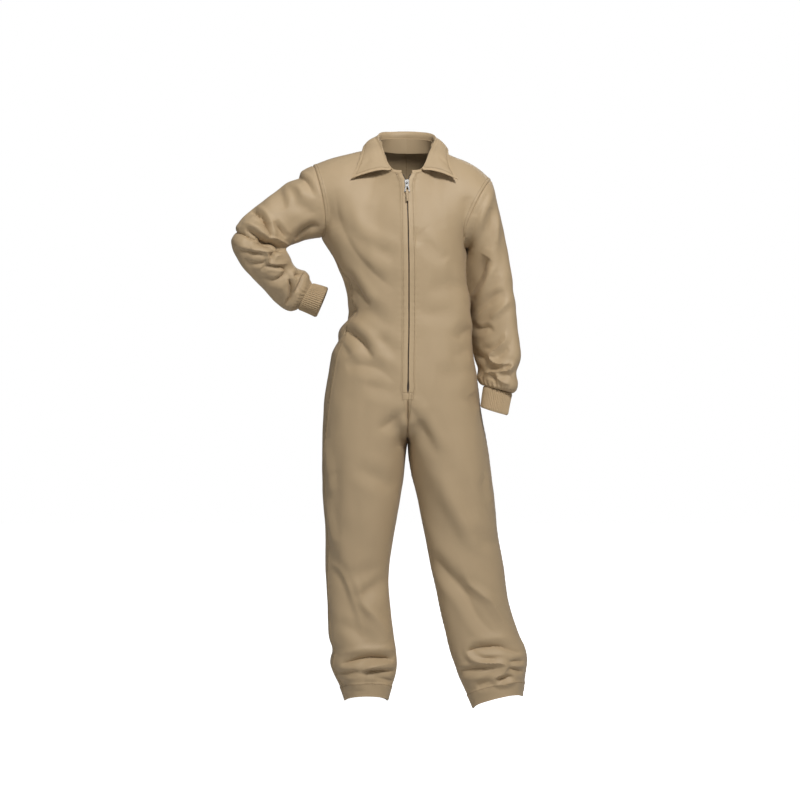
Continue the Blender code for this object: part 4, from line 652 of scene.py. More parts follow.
# the cloth tab, from the hinge: half its width and its thickness, and its folded middle line
TabPoint = namedtuple("TabPoint", "out up")
TAB_HALF, TAB_THICK = 2.3, 0.7
TAB_END = -36.6
TAB_FRONT = ((1.0, -17.0), (0.75, -19.0), (0.45, -22.0), (0.4, -30.0), (0.4, TAB_END))
TAB_FOOT = (TabPoint(0.8, -15.3), TabPoint(0.0, -14.7), TabPoint(-0.8, -15.3))
TAB_STITCH_HALF, TAB_STITCH_TOP, TAB_STITCH_IN, TAB_STITCH_OUT = 1.5, -23.0, 1.4, 0.4
TAB_LINES = 7


# ================================================================ flat cuts, stitching and stage
Flat = namedtuple("Flat", "size area")

TWILL_TURN = math.radians(-58)        # of the twill's diagonal lines against the cloth's width
WAVE_PERIOD = math.pi / 10            # of a wave texture's bands at scale 1

SEAM_ROWS = (1.6, 6.6)    # the two rows of stitches that hold a felled seam
PLACKET_ROW = 8.5
HEM_ROW = 25.0

FLOOR_CORNERS = ((-6.0, -4.8), (6.0, -4.8), (6.0, 5.0), (-6.0, 5.0))
Lamp = namedtuple("Lamp", "name place target size power")
LAMPS = (
    Lamp("key", (1.05, -2.9, 2.4), (0.0, 0.0, -0.4), 1.0, "key_power"),
    Lamp("fill", (-2.8, -3.2, 0.2), (0.0, 0.0, -0.5), 2.4, "fill_power"),
    Lamp("overhead", (0.0, 0.2, 2.6), (0.0, 0.0, -0.5), 1.8, "top_power"),
    Lamp("rear", (1.2, 3.8, 1.6), (0.0, 0.0, -0.5), 2.0, "rear_power"),
)
Camera = namedtuple("Camera", "place target")
CAMERA = Camera((-0.0076, -4.5, -0.33), (-0.0076, 0.0, -0.475))


# ================================================================ small tools
def ease(at, start, end):
    """0 before start, 1 after end, and a smooth rise between."""
    t = np.clip((at - start) / (end - start), 0, 1)
    return t * t * (3 - 2 * t)


def reading(table, name, at):
    """One column of a table at `at`, on a smooth line through its rows that never overshoots."""
    x = np.array([row[0] for row in table], float)
    y = np.array([getattr(row, name) for row in table], float)
    step = np.diff(x)
    slope = np.diff(y) / step
    before, after = slope[:-1], slope[1:]
    steady = before * after > 0
    total = np.where(steady, before + after, 1)
    middle = np.where(steady, 2 * before * after / total, 0)
    grade = np.concatenate([slope[:1], middle, slope[-1:]])
    at = np.clip(at, x[0], x[-1])
    i = np.clip(np.searchsorted(x, at, side="right") - 1, 0, len(step) - 1)
    return curve((at - x[i]) / step[i], y[i], y[i + 1], step[i], grade[i], grade[i + 1])


def curve(t, start, end, size, leave, arrive):
    """A smooth curve from start to end over a stretch, with the slopes it leaves and arrives by."""
    ends = start * (1 + 2 * t) * (1 - t) ** 2 + end * t * t * (3 - 2 * t)
    return ends + size * (leave * t * (1 - t) ** 2 - arrive * t * t * (1 - t))


def run_of(points):
    """Distance of each point of a polyline from its start."""
    return np.concatenate([[0], np.cumsum(np.linalg.norm(np.diff(points, axis=0), axis=1))])


def along(points, places):
    """Points read from a polyline at distances from its start."""
    run = run_of(points)
    return np.stack([np.interp(places, run, points[:, k]) for k in range(points.shape[1])], 1)


def length(points):
    """Length of a polyline."""
    return float(np.linalg.norm(np.diff(points, axis=0), axis=1).sum())


def unit(vectors):
    """Vectors made one long."""
    size = np.linalg.norm(vectors, axis=-1, keepdims=True)
    return vectors / np.maximum(size, 1e-9)


# ================================================================ body sections
def zip_opening(down):
    """Half the distance between the two front edges at a level."""
    if down >= FORK:
        return 0.0
    if down >= ZIP_TOP:
        return ZIP_HALF_GAP
    corner = NECK_HALF_WIDTH * math.sin(math.radians(NECK_CORNER))
    return ZIP_HALF_GAP + (corner - ZIP_HALF_GAP) * (ZIP_TOP - down) / (ZIP_TOP - NECK_PIT)


def side_shift(side, down):
    """How far a row rises at the side, because the two underarms aren't at the chest's level."""
    rise = CHEST - ARMHOLES[side].under_down
    return rise * (1 - ease(down, CHEST, CHEST + SIDE_FADE))


def depth(side, name, down):
    """How far the front or the back of a row stands out."""
    return reading(TRUNK + LEGS[side], name, down)


def inner_edge(side, down, face):
    """The inner edge of a panel: centre front or back, then the fork, then the inseam."""
    name = FACE_NAMES[face]
    inner = reading(TRUNK, "inner", down)
    if down > CROTCH:
        inner = reading(TRUNK[-1:] + LEGS[side], "inner", down)
    if face == FRONT:
        inner += SIGN[side] * zip_opening(down)
    if down <= FORK:
        return np.array([inner, depth(side, name, down)])
    if down <= CROTCH:
        sweep = (down - FORK) / (CROTCH - FORK)
        return np.array([inner, depth(side, name, FORK) * math.sqrt(max(0, 1 - sweep ** 2))])
    return np.array([inner, -INSEAM_FORWARD * ease(down, CROTCH, KNEE)])


def quarter(start, end, leaves_along_x, power):
    """A quarter of a rounded section from start to end, in x and y."""
    angle = np.linspace(0, math.pi / 2, QUARTER_POINTS)
    fall = np.maximum(np.cos(angle), 0) ** (2 / power)
    rise = np.sin(angle) ** (2 / power)
    if leaves_along_x:
        return np.stack([start[0] + (end[0] - start[0]) * rise, end[1] + (start[1] - end[1]) * fall], 1)
    return np.stack([end[0] + (start[0] - end[0]) * fall, start[1] + (end[1] - start[1]) * rise], 1)


def body_section(side, down):
    """One row of half the body: its outline in x and y, and where the side seam cuts it."""
    at_side = down - side_shift(side, down)
    table = FLANKS[side] + LEGS[side]
    outer = reading(table, "outer", at_side)
    share = FULLEST * ease(down, FORK - FULLEST_ABOVE, THIGH)
    power = TRUNK_POWER + (LEG_POWER - TRUNK_POWER) * ease(down, FORK, THIGH)
    front_edge = inner_edge(side, down, FRONT)
    back_edge = inner_edge(side, down, BACK)
    front_most = (front_edge[0] + share * (outer - front_edge[0]), depth(side, "front", down))
    back_most = (back_edge[0] + share * (outer - back_edge[0]), depth(side, "back", down))
    side_most = (outer, reading(table, "side_y", at_side))
    quarters = (
        quarter(front_edge, front_most, False, power),
        quarter(front_most, side_most, True, power),
        quarter(side_most, back_most, False, power),
        quarter(back_most, back_edge, True, power),
    )
    outline = np.concatenate(quarters)
    run = run_of(outline)
    seam_index = QUARTER_POINTS + reading(table, "seam", at_side) / 90 * (QUARTER_POINTS - 1)
    return outline, float(np.interp(seam_index, np.arange(len(run)), run)), outer


def spread(count, down):
    """Shares of a row from 1 at its inner edge to 0 at the side, drawn to the inner edge at the fork."""
    share = np.linspace(1, 0, count + 1)
    pull = FORK_PULL * ease(down, FORK - PULL_ABOVE, CROTCH) * (1 - ease(down, CROTCH, CROTCH + PULL_BELOW))
    return share * (1 - pull) + share ** 3 * pull


def relaxed(grid, level, reach, fixed):
    """Smooth a panel along its columns near a level, all but its edges and its first `fixed` columns."""
    down = -grid[:, 0, 2]
    grid = grid.copy()
    for _ in range(RELAX_TIMES):
        before, here, after = grid[:-2], grid[1:-1], grid[2:]
        to_before = np.linalg.norm(here - before, axis=2, keepdims=True)
        to_after = np.linalg.norm(after - here, axis=2, keepdims=True)
        even = (before * to_after + after * to_before) / (to_before + to_after)
        weight = np.exp(-((down[1:-1] - level) / reach) ** 2)[:, None, None] * np.ones((1, grid.shape[1], 1))
        weight[:, :fixed] = 0
        weight[:, -1] = 0
        grid[1:-1] = here + (even - here) * weight * RELAX_SHARE
    return grid


def body_row(side, down):
    """The front and the back panel's points of one row below the chest."""
    outline, seam, outer = body_section(side, down)
    front_share = spread(NECK_STEPS_FRONT + SHOULDER_STEPS, down)
    front_places = np.concatenate([[0, PLACKET], seam - (seam - PLACKET - EDGE_STEP) * front_share])
    back_share = spread(NECK_STEPS_BACK + SHOULDER_STEPS, down)
    back_places = seam + (length(outline) - seam) * back_share[::-1]
    inner = inner_edge(side, down, BACK)[0]
    middle = (inner + outer) / 2
    tilt = reading(LEGS[side], "tilt", down) if down > CROTCH else 0.0
    lift = HEM_LIFT * ease(down, ANKLE, LEG_END[side])
    rows = []
    for places in (front_places, back_places):
        flat = along(outline, places)
        share = np.clip((flat[:, 0] - inner) / (outer - inner), 0, 1)
        forward = np.clip(flat[:, 1] / depth(side, "front", down), 0, 1)
        z = -down + side_shift(side, down) * share ** 2 + tilt * (flat[:, 0] - middle) + lift * forward
        rows.append(np.column_stack([flat, z]))
    return rows


def body_levels(side):
    """Levels of the rows below the chest: closer at the fork and the ankle, and a pair at the hem seam."""
    end = LEG_END[side]
    body = np.linspace(CHEST, ZIP_END + EDGE_STEP, BODY_ROWS + 1)
    turn = np.arange(1, FORK_ROWS + 1) / FORK_ROWS * math.pi / 2
    fork = FORK + (CROTCH - FORK) * np.sin(turn)
    leg = np.linspace(CROTCH, ANKLE, LEG_ROWS + 1)[1:]
    ankle = np.linspace(ANKLE, end - HEM - EDGE_STEP, ANKLE_ROWS + 1)[1:]
    levels = [*body, FORK, *fork, *leg, *ankle, end - HEM, end - HEM / 2, end]
    return sorted(set(np.round(levels, 3)))


# ================================================================ yoke, neck and armholes
def neck_point(side, turn):
    """A point of the neck seam at an angle from the nape."""
    angle = math.radians(turn)
    reach = NECK_FRONT if turn > 90 else NECK_BACK
    end_down = NECK_PIT if turn > 90 else NECK_NAPE
    lean = abs(math.cos(angle))
    share = lean ** NECK_LEAN
    if turn > 90:
        share = 1 - (1 - share) ** NECK_SCOOP
    height = NECK_POINT_DOWN[side] + (end_down - NECK_POINT_DOWN[side]) * share
    x = NECK_X + SIGN[side] * NECK_HALF_WIDTH * math.sin(angle)
    return np.array([x, NECK_Y + math.copysign(reach * lean, math.cos(angle)), -height])


def neck_line(side, face):
    """The neck seam of one panel, from the centre to the shoulder."""
    start = NECK_CORNER if face == FRONT else 0.0
    line = np.array([neck_point(side, turn) for turn in np.linspace(start, 90, QUARTER_POINTS)])
    if face == BACK:
        return along(line, np.linspace(0, length(line), NECK_STEPS_BACK + 1))
    plain = np.linspace(PLACKET + EDGE_STEP, length(line), NECK_STEPS_FRONT + 1)
    return along(line, np.concatenate([[0, PLACKET], plain]))


def shoulder_line(side):
    """The shoulder seam from the neck to the sleeve, bowed up a little."""
    hole = ARMHOLES[side]
    start = neck_point(side, 90)
    end = np.array([hole.tip, 0.0, -hole.tip_down])
    t = np.linspace(0, 1, SHOULDER_STEPS + 1)[:, None]
    line = start + (end - start) * t
    line[:, 2] += SHOULDER_BULGE[side] * np.sin(math.pi * t[:, 0] ** SHOULDER_PLACE)
    return line


def armhole(side, face, share):
    """A point of the armhole; share runs from 0 at the underarm to 1 at the shoulder."""
    hole = ARMHOLES[side]
    turn = math.acos(1 - 2 * share)
    reach = hole.front if face == FRONT else hole.back
    bow = hole.front_bow if face == FRONT else hole.back_bow
    x = hole.under + (hole.tip - hole.under) * share
    x -= SIGN[side] * bow * math.sin(turn) * (1 + BOW_SKEW * math.cos(turn))
    z = -hole.under_down + (hole.under_down - hole.tip_down) * share
    return np.array([x, face * reach * math.sin(turn) ** ARMHOLE_ROUND, z])


def yoke_shares():
    """Shares of the height of the yoke's rows, closer at its two ends."""
    return [(1 - math.cos(math.pi * j / YOKE_ROWS)) / 2 for j in range(YOKE_ROWS + 1)]


def centre_point(side, face, down):
    """A point of the centre front or the centre back above the chest."""
    opening = zip_opening(down) if face == FRONT else 0.0
    inner = reading(RISE, "inner", down) + SIGN[side] * opening
    return np.array([inner, reading(RISE, FACE_NAMES[face], down), -down])


def yoke(side, face, bottom):
    """Rows of a panel above the chest row, from just above it up to the neck and the shoulder."""
    top = np.concatenate([neck_line(side, face), shoulder_line(side)[1:]])
    across = (bottom[:, 0] - bottom[0, 0]) / (bottom[-1, 0] - bottom[0, 0])
    turned = 1 - (1 - across ** TRUNK_POWER) ** (1 / TRUNK_POWER)
    roundness = NECK_ROUND + (2 - NECK_ROUND) * ease(across, NECK_SIDE, 1)
    neck_down = -top[0, 2]
    miss = top[0] - centre_point(side, face, neck_down)
    rows = []
    for share in yoke_shares()[1:]:
        centre = centre_point(side, face, CHEST + (neck_down - CHEST) * share) + miss * share ** MISS_FADE
        edge = armhole(side, face, share)
        roll = 1 - (1 - share ** roundness) ** (1 / roundness)
        row = np.zeros_like(bottom)
        for axis in range(3):
            v = roll if axis == 1 else share
            u = turned if axis == 1 else across
            corners = (1 - u) * ((1 - v) * bottom[0, axis] + v * top[0, axis])
            corners += u * ((1 - v) * bottom[-1, axis] + v * top[-1, axis])
            ends = (1 - u) * centre[axis] + u * edge[axis]
            row[:, axis] = (1 - v) * bottom[:, axis] + v * top[:, axis] + ends - corners
        rows.append(row)
    return rows


def body_grids(side):
    """The outer faces of one half: the front from the centre to the side, the back from side to centre."""
    fronts, backs = [], []
    for down in body_levels(side):
        front, back = body_row(side, down)
        fronts.append(front)
        backs.append(back)
    front_yoke = yoke(side, FRONT, fronts[0])
    back_yoke = [row[::-1] for row in yoke(side, BACK, backs[0][::-1])]
    front = np.array(front_yoke[::-1] + fronts)
    back = np.array(back_yoke[::-1] + backs)[:, ::-1]
    for level in (CHEST, CROTCH):
        front = relaxed(front, level, RELAX_REACH, 3)
        back = relaxed(back, level, RELAX_REACH, 1)
    return front, back[:, ::-1]


# ================================================================ sleeves
def sleeve_ring(ring, columns):
    """A rounded section between its under and its over point, as deep as the table says."""
    under = np.array([ring.under_x, ring.under_y, -ring.under_down])
    over = np.array([ring.over_x, ring.over_y, -ring.over_down])
    turn = np.linspace(0, 2 * math.pi, columns + 1)[:, None]
    deep = np.array([0.0, -ring.depth, 0.0])
    points = (under + over) / 2 + (under - over) / 2 * np.cos(turn) + deep * np.sin(turn)
    points[-1] = points[0]
    return points


def sleeve_grid(side):
    """The rings of a sleeve, from the armhole to the cuff."""
    shares = yoke_shares()
    ahead = [armhole(side, FRONT, share) for share in shares]
    behind = [armhole(side, BACK, share) for share in shares[::-1]]
    rings = [np.array(ahead + behind[1:])]
    rings += [sleeve_ring(ring, 2 * YOKE_ROWS) for ring in SLEEVES[side]]
    return np.array(rings)


# ================================================================ fine grids
# places of the lines that are added in one stretch of a coarse grid
EVEN = {count: tuple(np.arange(1, count + 1) / count) for count in range(1, 17)}
STRIP_CELL = (0.05, 0.12, 0.25, 0.45, 0.65, 0.78, 0.86, 0.93, 1.0)
SEAM_CELL = (0.2, 0.38, 0.48, 0.56, 0.66, 0.78, 0.87, 0.94, 1.0)
BEFORE_SEAM = tuple(1 - place for place in SEAM_CELL[-2::-1]) + (1.0,)
YOKE_CELL, BODY_CELL, FORK_CELL, LEG_CELL, ANKLE_CELL = EVEN[8], EVEN[8], EVEN[5], EVEN[9], EVEN[6]
HEM_CELL = EVEN[5]
ARM_CELL = EVEN[9]
PLAIN_CELL = EVEN[5]
SETTLE_REACH = 14.0       # over which a corrected edge runs out into its piece
SLEEVE_SETTLE, SLEEVE_SETTLE_AGAIN = 30.0, 24.0
SHORT_STRETCH = 8         # two levels nearer than this have one line between them
BOX_MARGIN = 2            # around the stitched box, where the rows are as fine
SAME_PLACE = 500          # parts of a millimetre within which points of a seam are one point


def refined(points, cells, closed=False):
    """A smooth curve through points along the first axis, each stretch divided at its cell's places."""
    if closed:
        points = np.concatenate([points[-2:-1], points, points[1:2]])
    step = np.diff(points, axis=0)
    size = np.maximum(np.linalg.norm(step, axis=-1, keepdims=True), 1e-6)
    slope = step / size
    middle = (slope[:-1] * size[1:] + slope[1:] * size[:-1]) / (size[:-1] + size[1:])
    grade = np.concatenate([1.5 * slope[:1] - 0.5 * middle[:1], middle, 1.5 * slope[-1:] - 0.5 * middle[-1:]])
    if closed:
        points, size, grade = points[1:-1], size[1:-1], grade[1:-1]
    line = [points[:1]]
    for i, places in enumerate(cells):
        t = np.array(places).reshape(-1, *[1] * (points.ndim - 1))
        line.append(curve(t, points[i], points[i + 1], size[i], grade[i], grade[i + 1]))
    return np.concatenate(line)


def refined_grid(grid, row_cells, column_cells, closed=False):
    """A coarse grid made fine both ways."""
    tall = refined(grid, row_cells)
    return refined(tall.transpose(1, 0, 2), column_cells, closed).transpose(1, 0, 2).copy()


def run_along(lines):
    """Distance of each point from the start of its line; lines run along the second axis."""
    size = np.linalg.norm(np.diff(lines, axis=1), axis=2)
    return np.concatenate([np.zeros((len(lines), 1)), np.cumsum(size, axis=1)], axis=1)


def settle(lines, target, reach=SETTLE_REACH):
    """Move the first point of each line onto a target, and the points after it by less and less."""
    shift = target - lines[:, 0]
    fade = 1 - ease(run_along(lines), 0, reach)
    lines += shift[:, None] * fade[..., None]


def meet(first, second):
    """Bring two pieces' lines together, half way, where they start at a common seam."""
    middle = (first[:, 0] + second[:, 0]) / 2
    settle(first, middle)
    settle(second, middle)


class Cloth:
    """One piece: the fine grid of its outer face and which way that faces."""

    def __init__(self, name, grid, turn, closed=False):
        self.name = name
        self.grid = grid
        self.turn = turn
        self.closed = closed
        self.normals = None
        self.face = None

    def away(self, edge):
        """Distance of each point from one of the piece's edges, along the cloth."""
        if edge in ("first", "last"):
            step = 1 if edge == "first" else -1
            return run_along(self.grid[:, ::step])[:, ::step]
        step = 1 if edge == "top" else -1
        return run_along(self.grid[::step].swapaxes(0, 1)).T[::step]


def row_cells(side):
    """The cells of a panel's rows, in the order of body_levels, the yoke first."""
    levels = body_levels(side)
    cells = [YOKE_CELL] * YOKE_ROWS
    for upper, lower in zip(levels, levels[1:]):
        middle = (upper + lower) / 2
        if upper < BOX_END + BOX_MARGIN and lower > BOX_START - BOX_MARGIN:
            cells.append(EVEN[min(max(EVEN), max(2, round((lower - upper) / BOX_STEP)))])
        elif lower - upper < SHORT_STRETCH:
            cells.append(EVEN[2])
        elif middle < FORK:
            cells.append(BODY_CELL)
        elif middle < CROTCH:
            cells.append(FORK_CELL)
        elif middle < ANKLE:
            cells.append(LEG_CELL)
        elif middle < LEG_END[side] - HEM:
            cells.append(ANKLE_CELL)
        else:
            cells.append(HEM_CELL)
    return cells


FRONT_CELLS = [STRIP_CELL, EVEN[2]] + [PLAIN_CELL] * (NECK_STEPS_FRONT + SHOULDER_STEPS - 1) + [SEAM_CELL]
BACK_CELLS = [BEFORE_SEAM] + [PLAIN_CELL] * (NECK_STEPS_BACK + SHOULDER_STEPS - 2) + [SEAM_CELL]
FRONT_SHOULDER = sum(len(cell) for cell in FRONT_CELLS[-SHOULDER_STEPS:])
BACK_SHOULDER = sum(len(cell) for cell in BACK_CELLS[:SHOULDER_STEPS])
YOKE_LINES = YOKE_ROWS * len(YOKE_CELL)


def share_normals(pieces):
    """Give each point the mean normal of every face that meets there, over all pieces at once."""
    points = np.concatenate([piece.grid.reshape(-1, 3) for piece in pieces])
    _, same = np.unique(np.round(points * SAME_PLACE).astype(np.int64), axis=0, return_inverse=True)
    same = same.reshape(-1)
    total = np.zeros((same.max() + 1, 3))
    start = 0
    for piece in pieces:
        rows, columns = piece.grid.shape[:2]
        index = same[start:start + rows * columns].reshape(rows, columns)
        start += rows * columns
        grid = piece.grid
        face = unit(np.cross(grid[1:, 1:] - grid[:-1, :-1], grid[:-1, 1:] - grid[1:, :-1]) * piece.turn)
        for corner in (index[:-1, :-1], index[:-1, 1:], index[1:, 1:], index[1:, :-1]):
            for axis in range(3):
                total[:, axis] += np.bincount(corner.ravel(), face[..., axis].ravel(), len(total))
        piece.normals = index
    total = unit(total)
    for piece in pieces:
        piece.normals = total[piece.normals]


def fork_normals(panels):
    """Turn the normals along the fork seam square to the seam, where the two legs face each other."""
    for piece in panels:
        column = 0 if piece.name.startswith("front") else -1
        down = -piece.grid[:, column, 2]
        ahead = FRONT if column == 0 else BACK
        rows = np.flatnonzero((down > FORK - 1) & (down < CROTCH + 1))
        for row in rows:
            sweep = min(max((down[row] - FORK) / (CROTCH - FORK), 0), 1)
            steep = math.sqrt(1 - sweep ** 2) * (CROTCH - FORK)
            normal = np.array([0.0, ahead * steep, -sweep * abs(piece.grid[rows[0], column, 1])])
            piece.normals[row, column] = unit(normal)


# ================================================================ folds, slack and puckers
PathRow = namedtuple("PathRow", "place a b")


def smooth_path(path):
    """A fold's path as a smooth curve through its points."""
    table = [PathRow(place, *point) for place, point in enumerate(path)]
    at = np.linspace(0, len(path) - 1, PATH_POINTS * (len(path) - 1) + 1)
    return np.stack([reading(table, "a", at), -reading(table, "b", at)], 1)


def folds_of(piece):
    """Each fold of a piece, with the direction it faces and the first of the two axes it is seen in."""
    for (owner, face), rows in FOLDS.items():
        if owner == piece:
            yield from ((Fold(*row), *FACES[face]) for row in rows)


def fold_height(points, normals, piece, strength):
    """How far each point moves out, or in, for the folds of its piece."""
    moved = np.zeros(len(points))
    for fold, outward, first in folds_of(piece):
        path = smooth_path(fold.path)
        seen = points[:, [first, 2]]
        reach = FOLD_REACH * fold.width
        near = ((seen > path.min(0) - reach) & (seen < path.max(0) + reach)).all(1)
        turned = normals @ np.array(outward, float) + (RIM_TURN if fold.rim else 0.0)
        near = np.flatnonzero(near & (turned > FACING[0]))
        if not len(near):
            continue
        seen = seen[near]
        start, step = path[:-1], np.diff(path, axis=0)
        size = np.maximum((step ** 2).sum(1), 1e-9)
        t = np.clip(((seen[:, None] - start) * step).sum(2) / size, 0, 1)
        gap = np.linalg.norm(seen[:, None] - (start + t[..., None] * step), axis=2)
        nearest = gap.argmin(1)
        row = np.arange(len(near))
        along, across = step[nearest], seen - start[nearest]
        left = np.sign(along[:, 0] * across[:, 1] - along[:, 1] * across[:, 0])
        place = (nearest + t[row, nearest]) / len(step)
        taper = np.clip(4 * place * (1 - place), TAPER_LEAST, 1) ** TAPER_POWER
        off = gap[row, nearest] / (fold.width * (1 - fold.lean * left))
        crisp = CREASE_SHARE * min(max((CRISP_FROM - fold.sharp) / CRISP_RANGE, 0), 1)
        shape = np.exp(-off ** fold.sharp) - BANK * np.exp(-((off - BANK_OFF) / BANK_WIDTH) ** 2)
        shape += crisp * np.exp(-(off / CREASE_WIDTH) ** CREASE_POWER)
        facing = ease(turned[near], *FACING)
        moved[near] += strength * fold.height * shape * taper * facing
    return moved


def slack(points, length_mm, turn):
    """A soft, uneven wave over a surface, between about -1 and 1, from crossed plane waves."""
    wave = np.zeros(len(points))
    for k in range(SLACK_WAVES):
        azimuth = turn + GOLDEN_ANGLE * k
        rise = 1 - 2 * (k + 0.5) / SLACK_WAVES
        flat = math.sqrt(1 - rise * rise)
        direction = np.array([math.cos(azimuth) * flat, math.sin(azimuth) * flat, SLACK_RISE * rise])
        pitch = length_mm * (SLACK_PITCH[0] + SLACK_PITCH[1] * k)
        wave += np.sin(points @ direction * (2 * math.pi / pitch) + SLACK_PHASE * k + turn)
    return wave / SLACK_SIZE


def pucker(run, away, pitch, depth):
    """Small gathers beside a stitched seam, that die out away from it."""
    phase = 2 * math.pi * run / pitch + 2.1 * np.sin(run / (2.3 * pitch)) + 1.3 * np.sin(run / (5.1 * pitch))
    strength = 0.6 + 0.4 * np.sin(run / (3.7 * pitch) + 1.0)
    return depth * np.sin(phase) * strength * (1 - ease(away, 1.5, 13.0)) * ease(away, 0.0, 1.5)


def seam_dip(away, depth=SEAM_DEPTH):
    """Cloth turns in where it is sewn to its neighbour."""
    return -depth * (1 - np.clip(away / SEAM_WIDTH, 0, 1)) ** SEAM_POWER


def laid_over(away, width, height, step=1.0):
    """A seam allowance or hem lies under the cloth up to a width, and lifts it there."""
    return height * (1 - ease(away, width, width + step))


def pressed(away):
    """The groove that a row of stitches presses into doubled cloth."""
    return STITCH_GROOVE * np.exp(-(away / STITCH_PRESS) ** 2)


def zip_guard(points):
    """1 away from the zip and 0 beside it, so that the two front edges stay a pair."""
    centre = reading(TRUNK, "inner", -points[:, 2])
    beside = ease(np.abs(points[:, 0] - centre), *ZIP_GUARD)
    below = ease(-points[:, 2], FORK - 10, FORK + 40)
    return np.where(points[:, 1] < 0, np.maximum(beside, below), 1)


def worked(piece, name, strength, slack_height):
    """Work the folds and the soft slack of worn cloth into a piece."""
    points = piece.grid.reshape(-1, 3)
    normals = piece.normals.reshape(-1, 3)
    moved = fold_height(points, normals, name, strength)
    moved += slack_height * sum(share * slack(points, size, turn) for share, size, turn in SUIT_SLACK)
    if name == "body":
        moved *= zip_guard(points)
    piece.grid = (points + normals * moved[:, None]).reshape(piece.grid.shape)


# ================================================================ the cut of the suit
def fine_panels():
    """The fine grids of the two fronts and the two backs."""
    panels = {}
    for side in SIDES:
        cells = row_cells(side)
        for face, grid, columns in zip(("front", "back"), body_grids(side), (FRONT_CELLS, BACK_CELLS)):
            name = f"{face}_{side}"
            panels[name] = Cloth(name, refined_grid(grid, cells, columns), SIGN[side])
    return panels


def join_panels(panels):
    """Bring the panels together along the shoulders, sides, inseams, centre back and fork."""
    fork_row = {}
    for side in SIDES:
        front, back = panels["front_" + side].grid, panels["back_" + side].grid
        shoulder = refined(shoulder_line(side), [PLAIN_CELL] * (SHOULDER_STEPS - 1) + [SEAM_CELL])
        settle(front[:, -1 - FRONT_SHOULDER:].swapaxes(0, 1), shoulder)
        settle(back[:, :BACK_SHOULDER + 1].swapaxes(0, 1)[::-1], shoulder)
        meet(front[YOKE_LINES:, ::-1], back[YOKE_LINES:])
        crotch = int(np.argmin(np.abs(front[:, 0, 2] + CROTCH)))
        meet(front[crotch:], back[crotch:, ::-1])
        fork_row[side] = (int(np.argmin(np.abs(front[:, 0, 2] + FORK))), crotch)
    start, crotch = fork_row["right"]
    meet(panels["front_right"].grid[start:crotch + 1], panels["front_left"].grid[start:crotch + 1])
    meet(panels["back_right"].grid[:crotch + 1, ::-1], panels["back_left"].grid[:crotch + 1, ::-1])


def armhole_ring(panels, side):
    """The armhole's edge, from the underarm over the shoulder and back."""
    ahead = panels["front_" + side].grid[:YOKE_LINES + 1, -1][::-1]
    behind = panels["back_" + side].grid[:YOKE_LINES + 1, 0]
    return np.concatenate([ahead, behind[1:]])


def fine_sleeve(side):
    """The fine grid of a sleeve."""
    rings = sleeve_grid(side)
    columns = [YOKE_CELL] * (rings.shape[1] - 1)
    rows = [ARM_CELL] * (len(rings) - 2) + [SEAM_CELL]
    return Cloth("sleeve_" + side, refined_grid(rings, rows, columns, True), SIGN[side], True)


@lru_cache(maxsize=1)
def cut_suit(fold_strength, slack_height):
    """The outer faces of the panels, the sleeves and the stand, folded as worn and with shared normals."""
    panels = fine_panels()
    join_panels(panels)
    sleeves = {side: fine_sleeve(side) for side in SIDES}
    for side, sleeve in sleeves.items():
        set_in(sleeve, armhole_ring(panels, side), SLEEVE_SETTLE)
    body = list(panels.values())
    pieces = body + list(sleeves.values())
    share_normals(pieces)
    for panel in body:
        worked(panel, "body", fold_strength, slack_height)
    for side, sleeve in sleeves.items():
        worked(sleeve, "sleeve_" + side, fold_strength, slack_height)
        set_in(sleeve, armhole_ring(panels, side), SLEEVE_SETTLE_AGAIN)
        bunch_at_cuff(sleeve)
    stand = Cloth("collar_stand", stand_grid(panels), 1.0)
    pieces.append(stand)
    share_normals(pieces)
    fork_normals(body)
    for piece in pieces:
        height = HEIGHTS[piece.name.split("_")[0]](piece)
        piece.face = piece.grid + piece.normals * height[..., None]
    return {piece.name: piece for piece in pieces}


def set_in(sleeve, ring, reach):
    """Bring a sleeve's first ring onto the armhole, and the rings within reach after it."""
    settle(sleeve.grid.swapaxes(0, 1), ring, reach)
    sleeve.grid[:, -1] = sleeve.grid[:, 0]


def bunch_at_cuff(sleeve):
    """Gather the sleeve's end into the knit of the cuff, in uneven small pleats."""
    columns = sleeve.grid.shape[1]
    turn = np.linspace(0, 2 * math.pi, columns)
    pleat = np.sin(GATHERS * turn + 1.6 * np.sin(3 * turn)) * (0.7 + 0.3 * np.sin(5 * turn + 0.8))
    away = sleeve.away("bottom")
    centre = sleeve.grid[:, :-1].mean(1)[:, None]
    outward = unit(sleeve.grid - centre)
    depth = GATHER_DEPTH * ease(away, *GATHER_START) * (1 - ease(away, GATHER_FULL, GATHER_REACH))
    sleeve.grid = sleeve.grid + outward * (pleat * depth)[..., None]


def below_yoke(piece):
    """1 below the underarm and 0 above it."""
    below = np.zeros(piece.grid.shape[:2])
    below[YOKE_LINES:] = 1
    return below


def hem_height(along_it, bottom):
    """The turned hem, and the small gathers along its stitches."""
    return laid_over(bottom, HEM, RAISE) + pucker(along_it, np.abs(bottom - HEM), *PUCKERS["hem"])


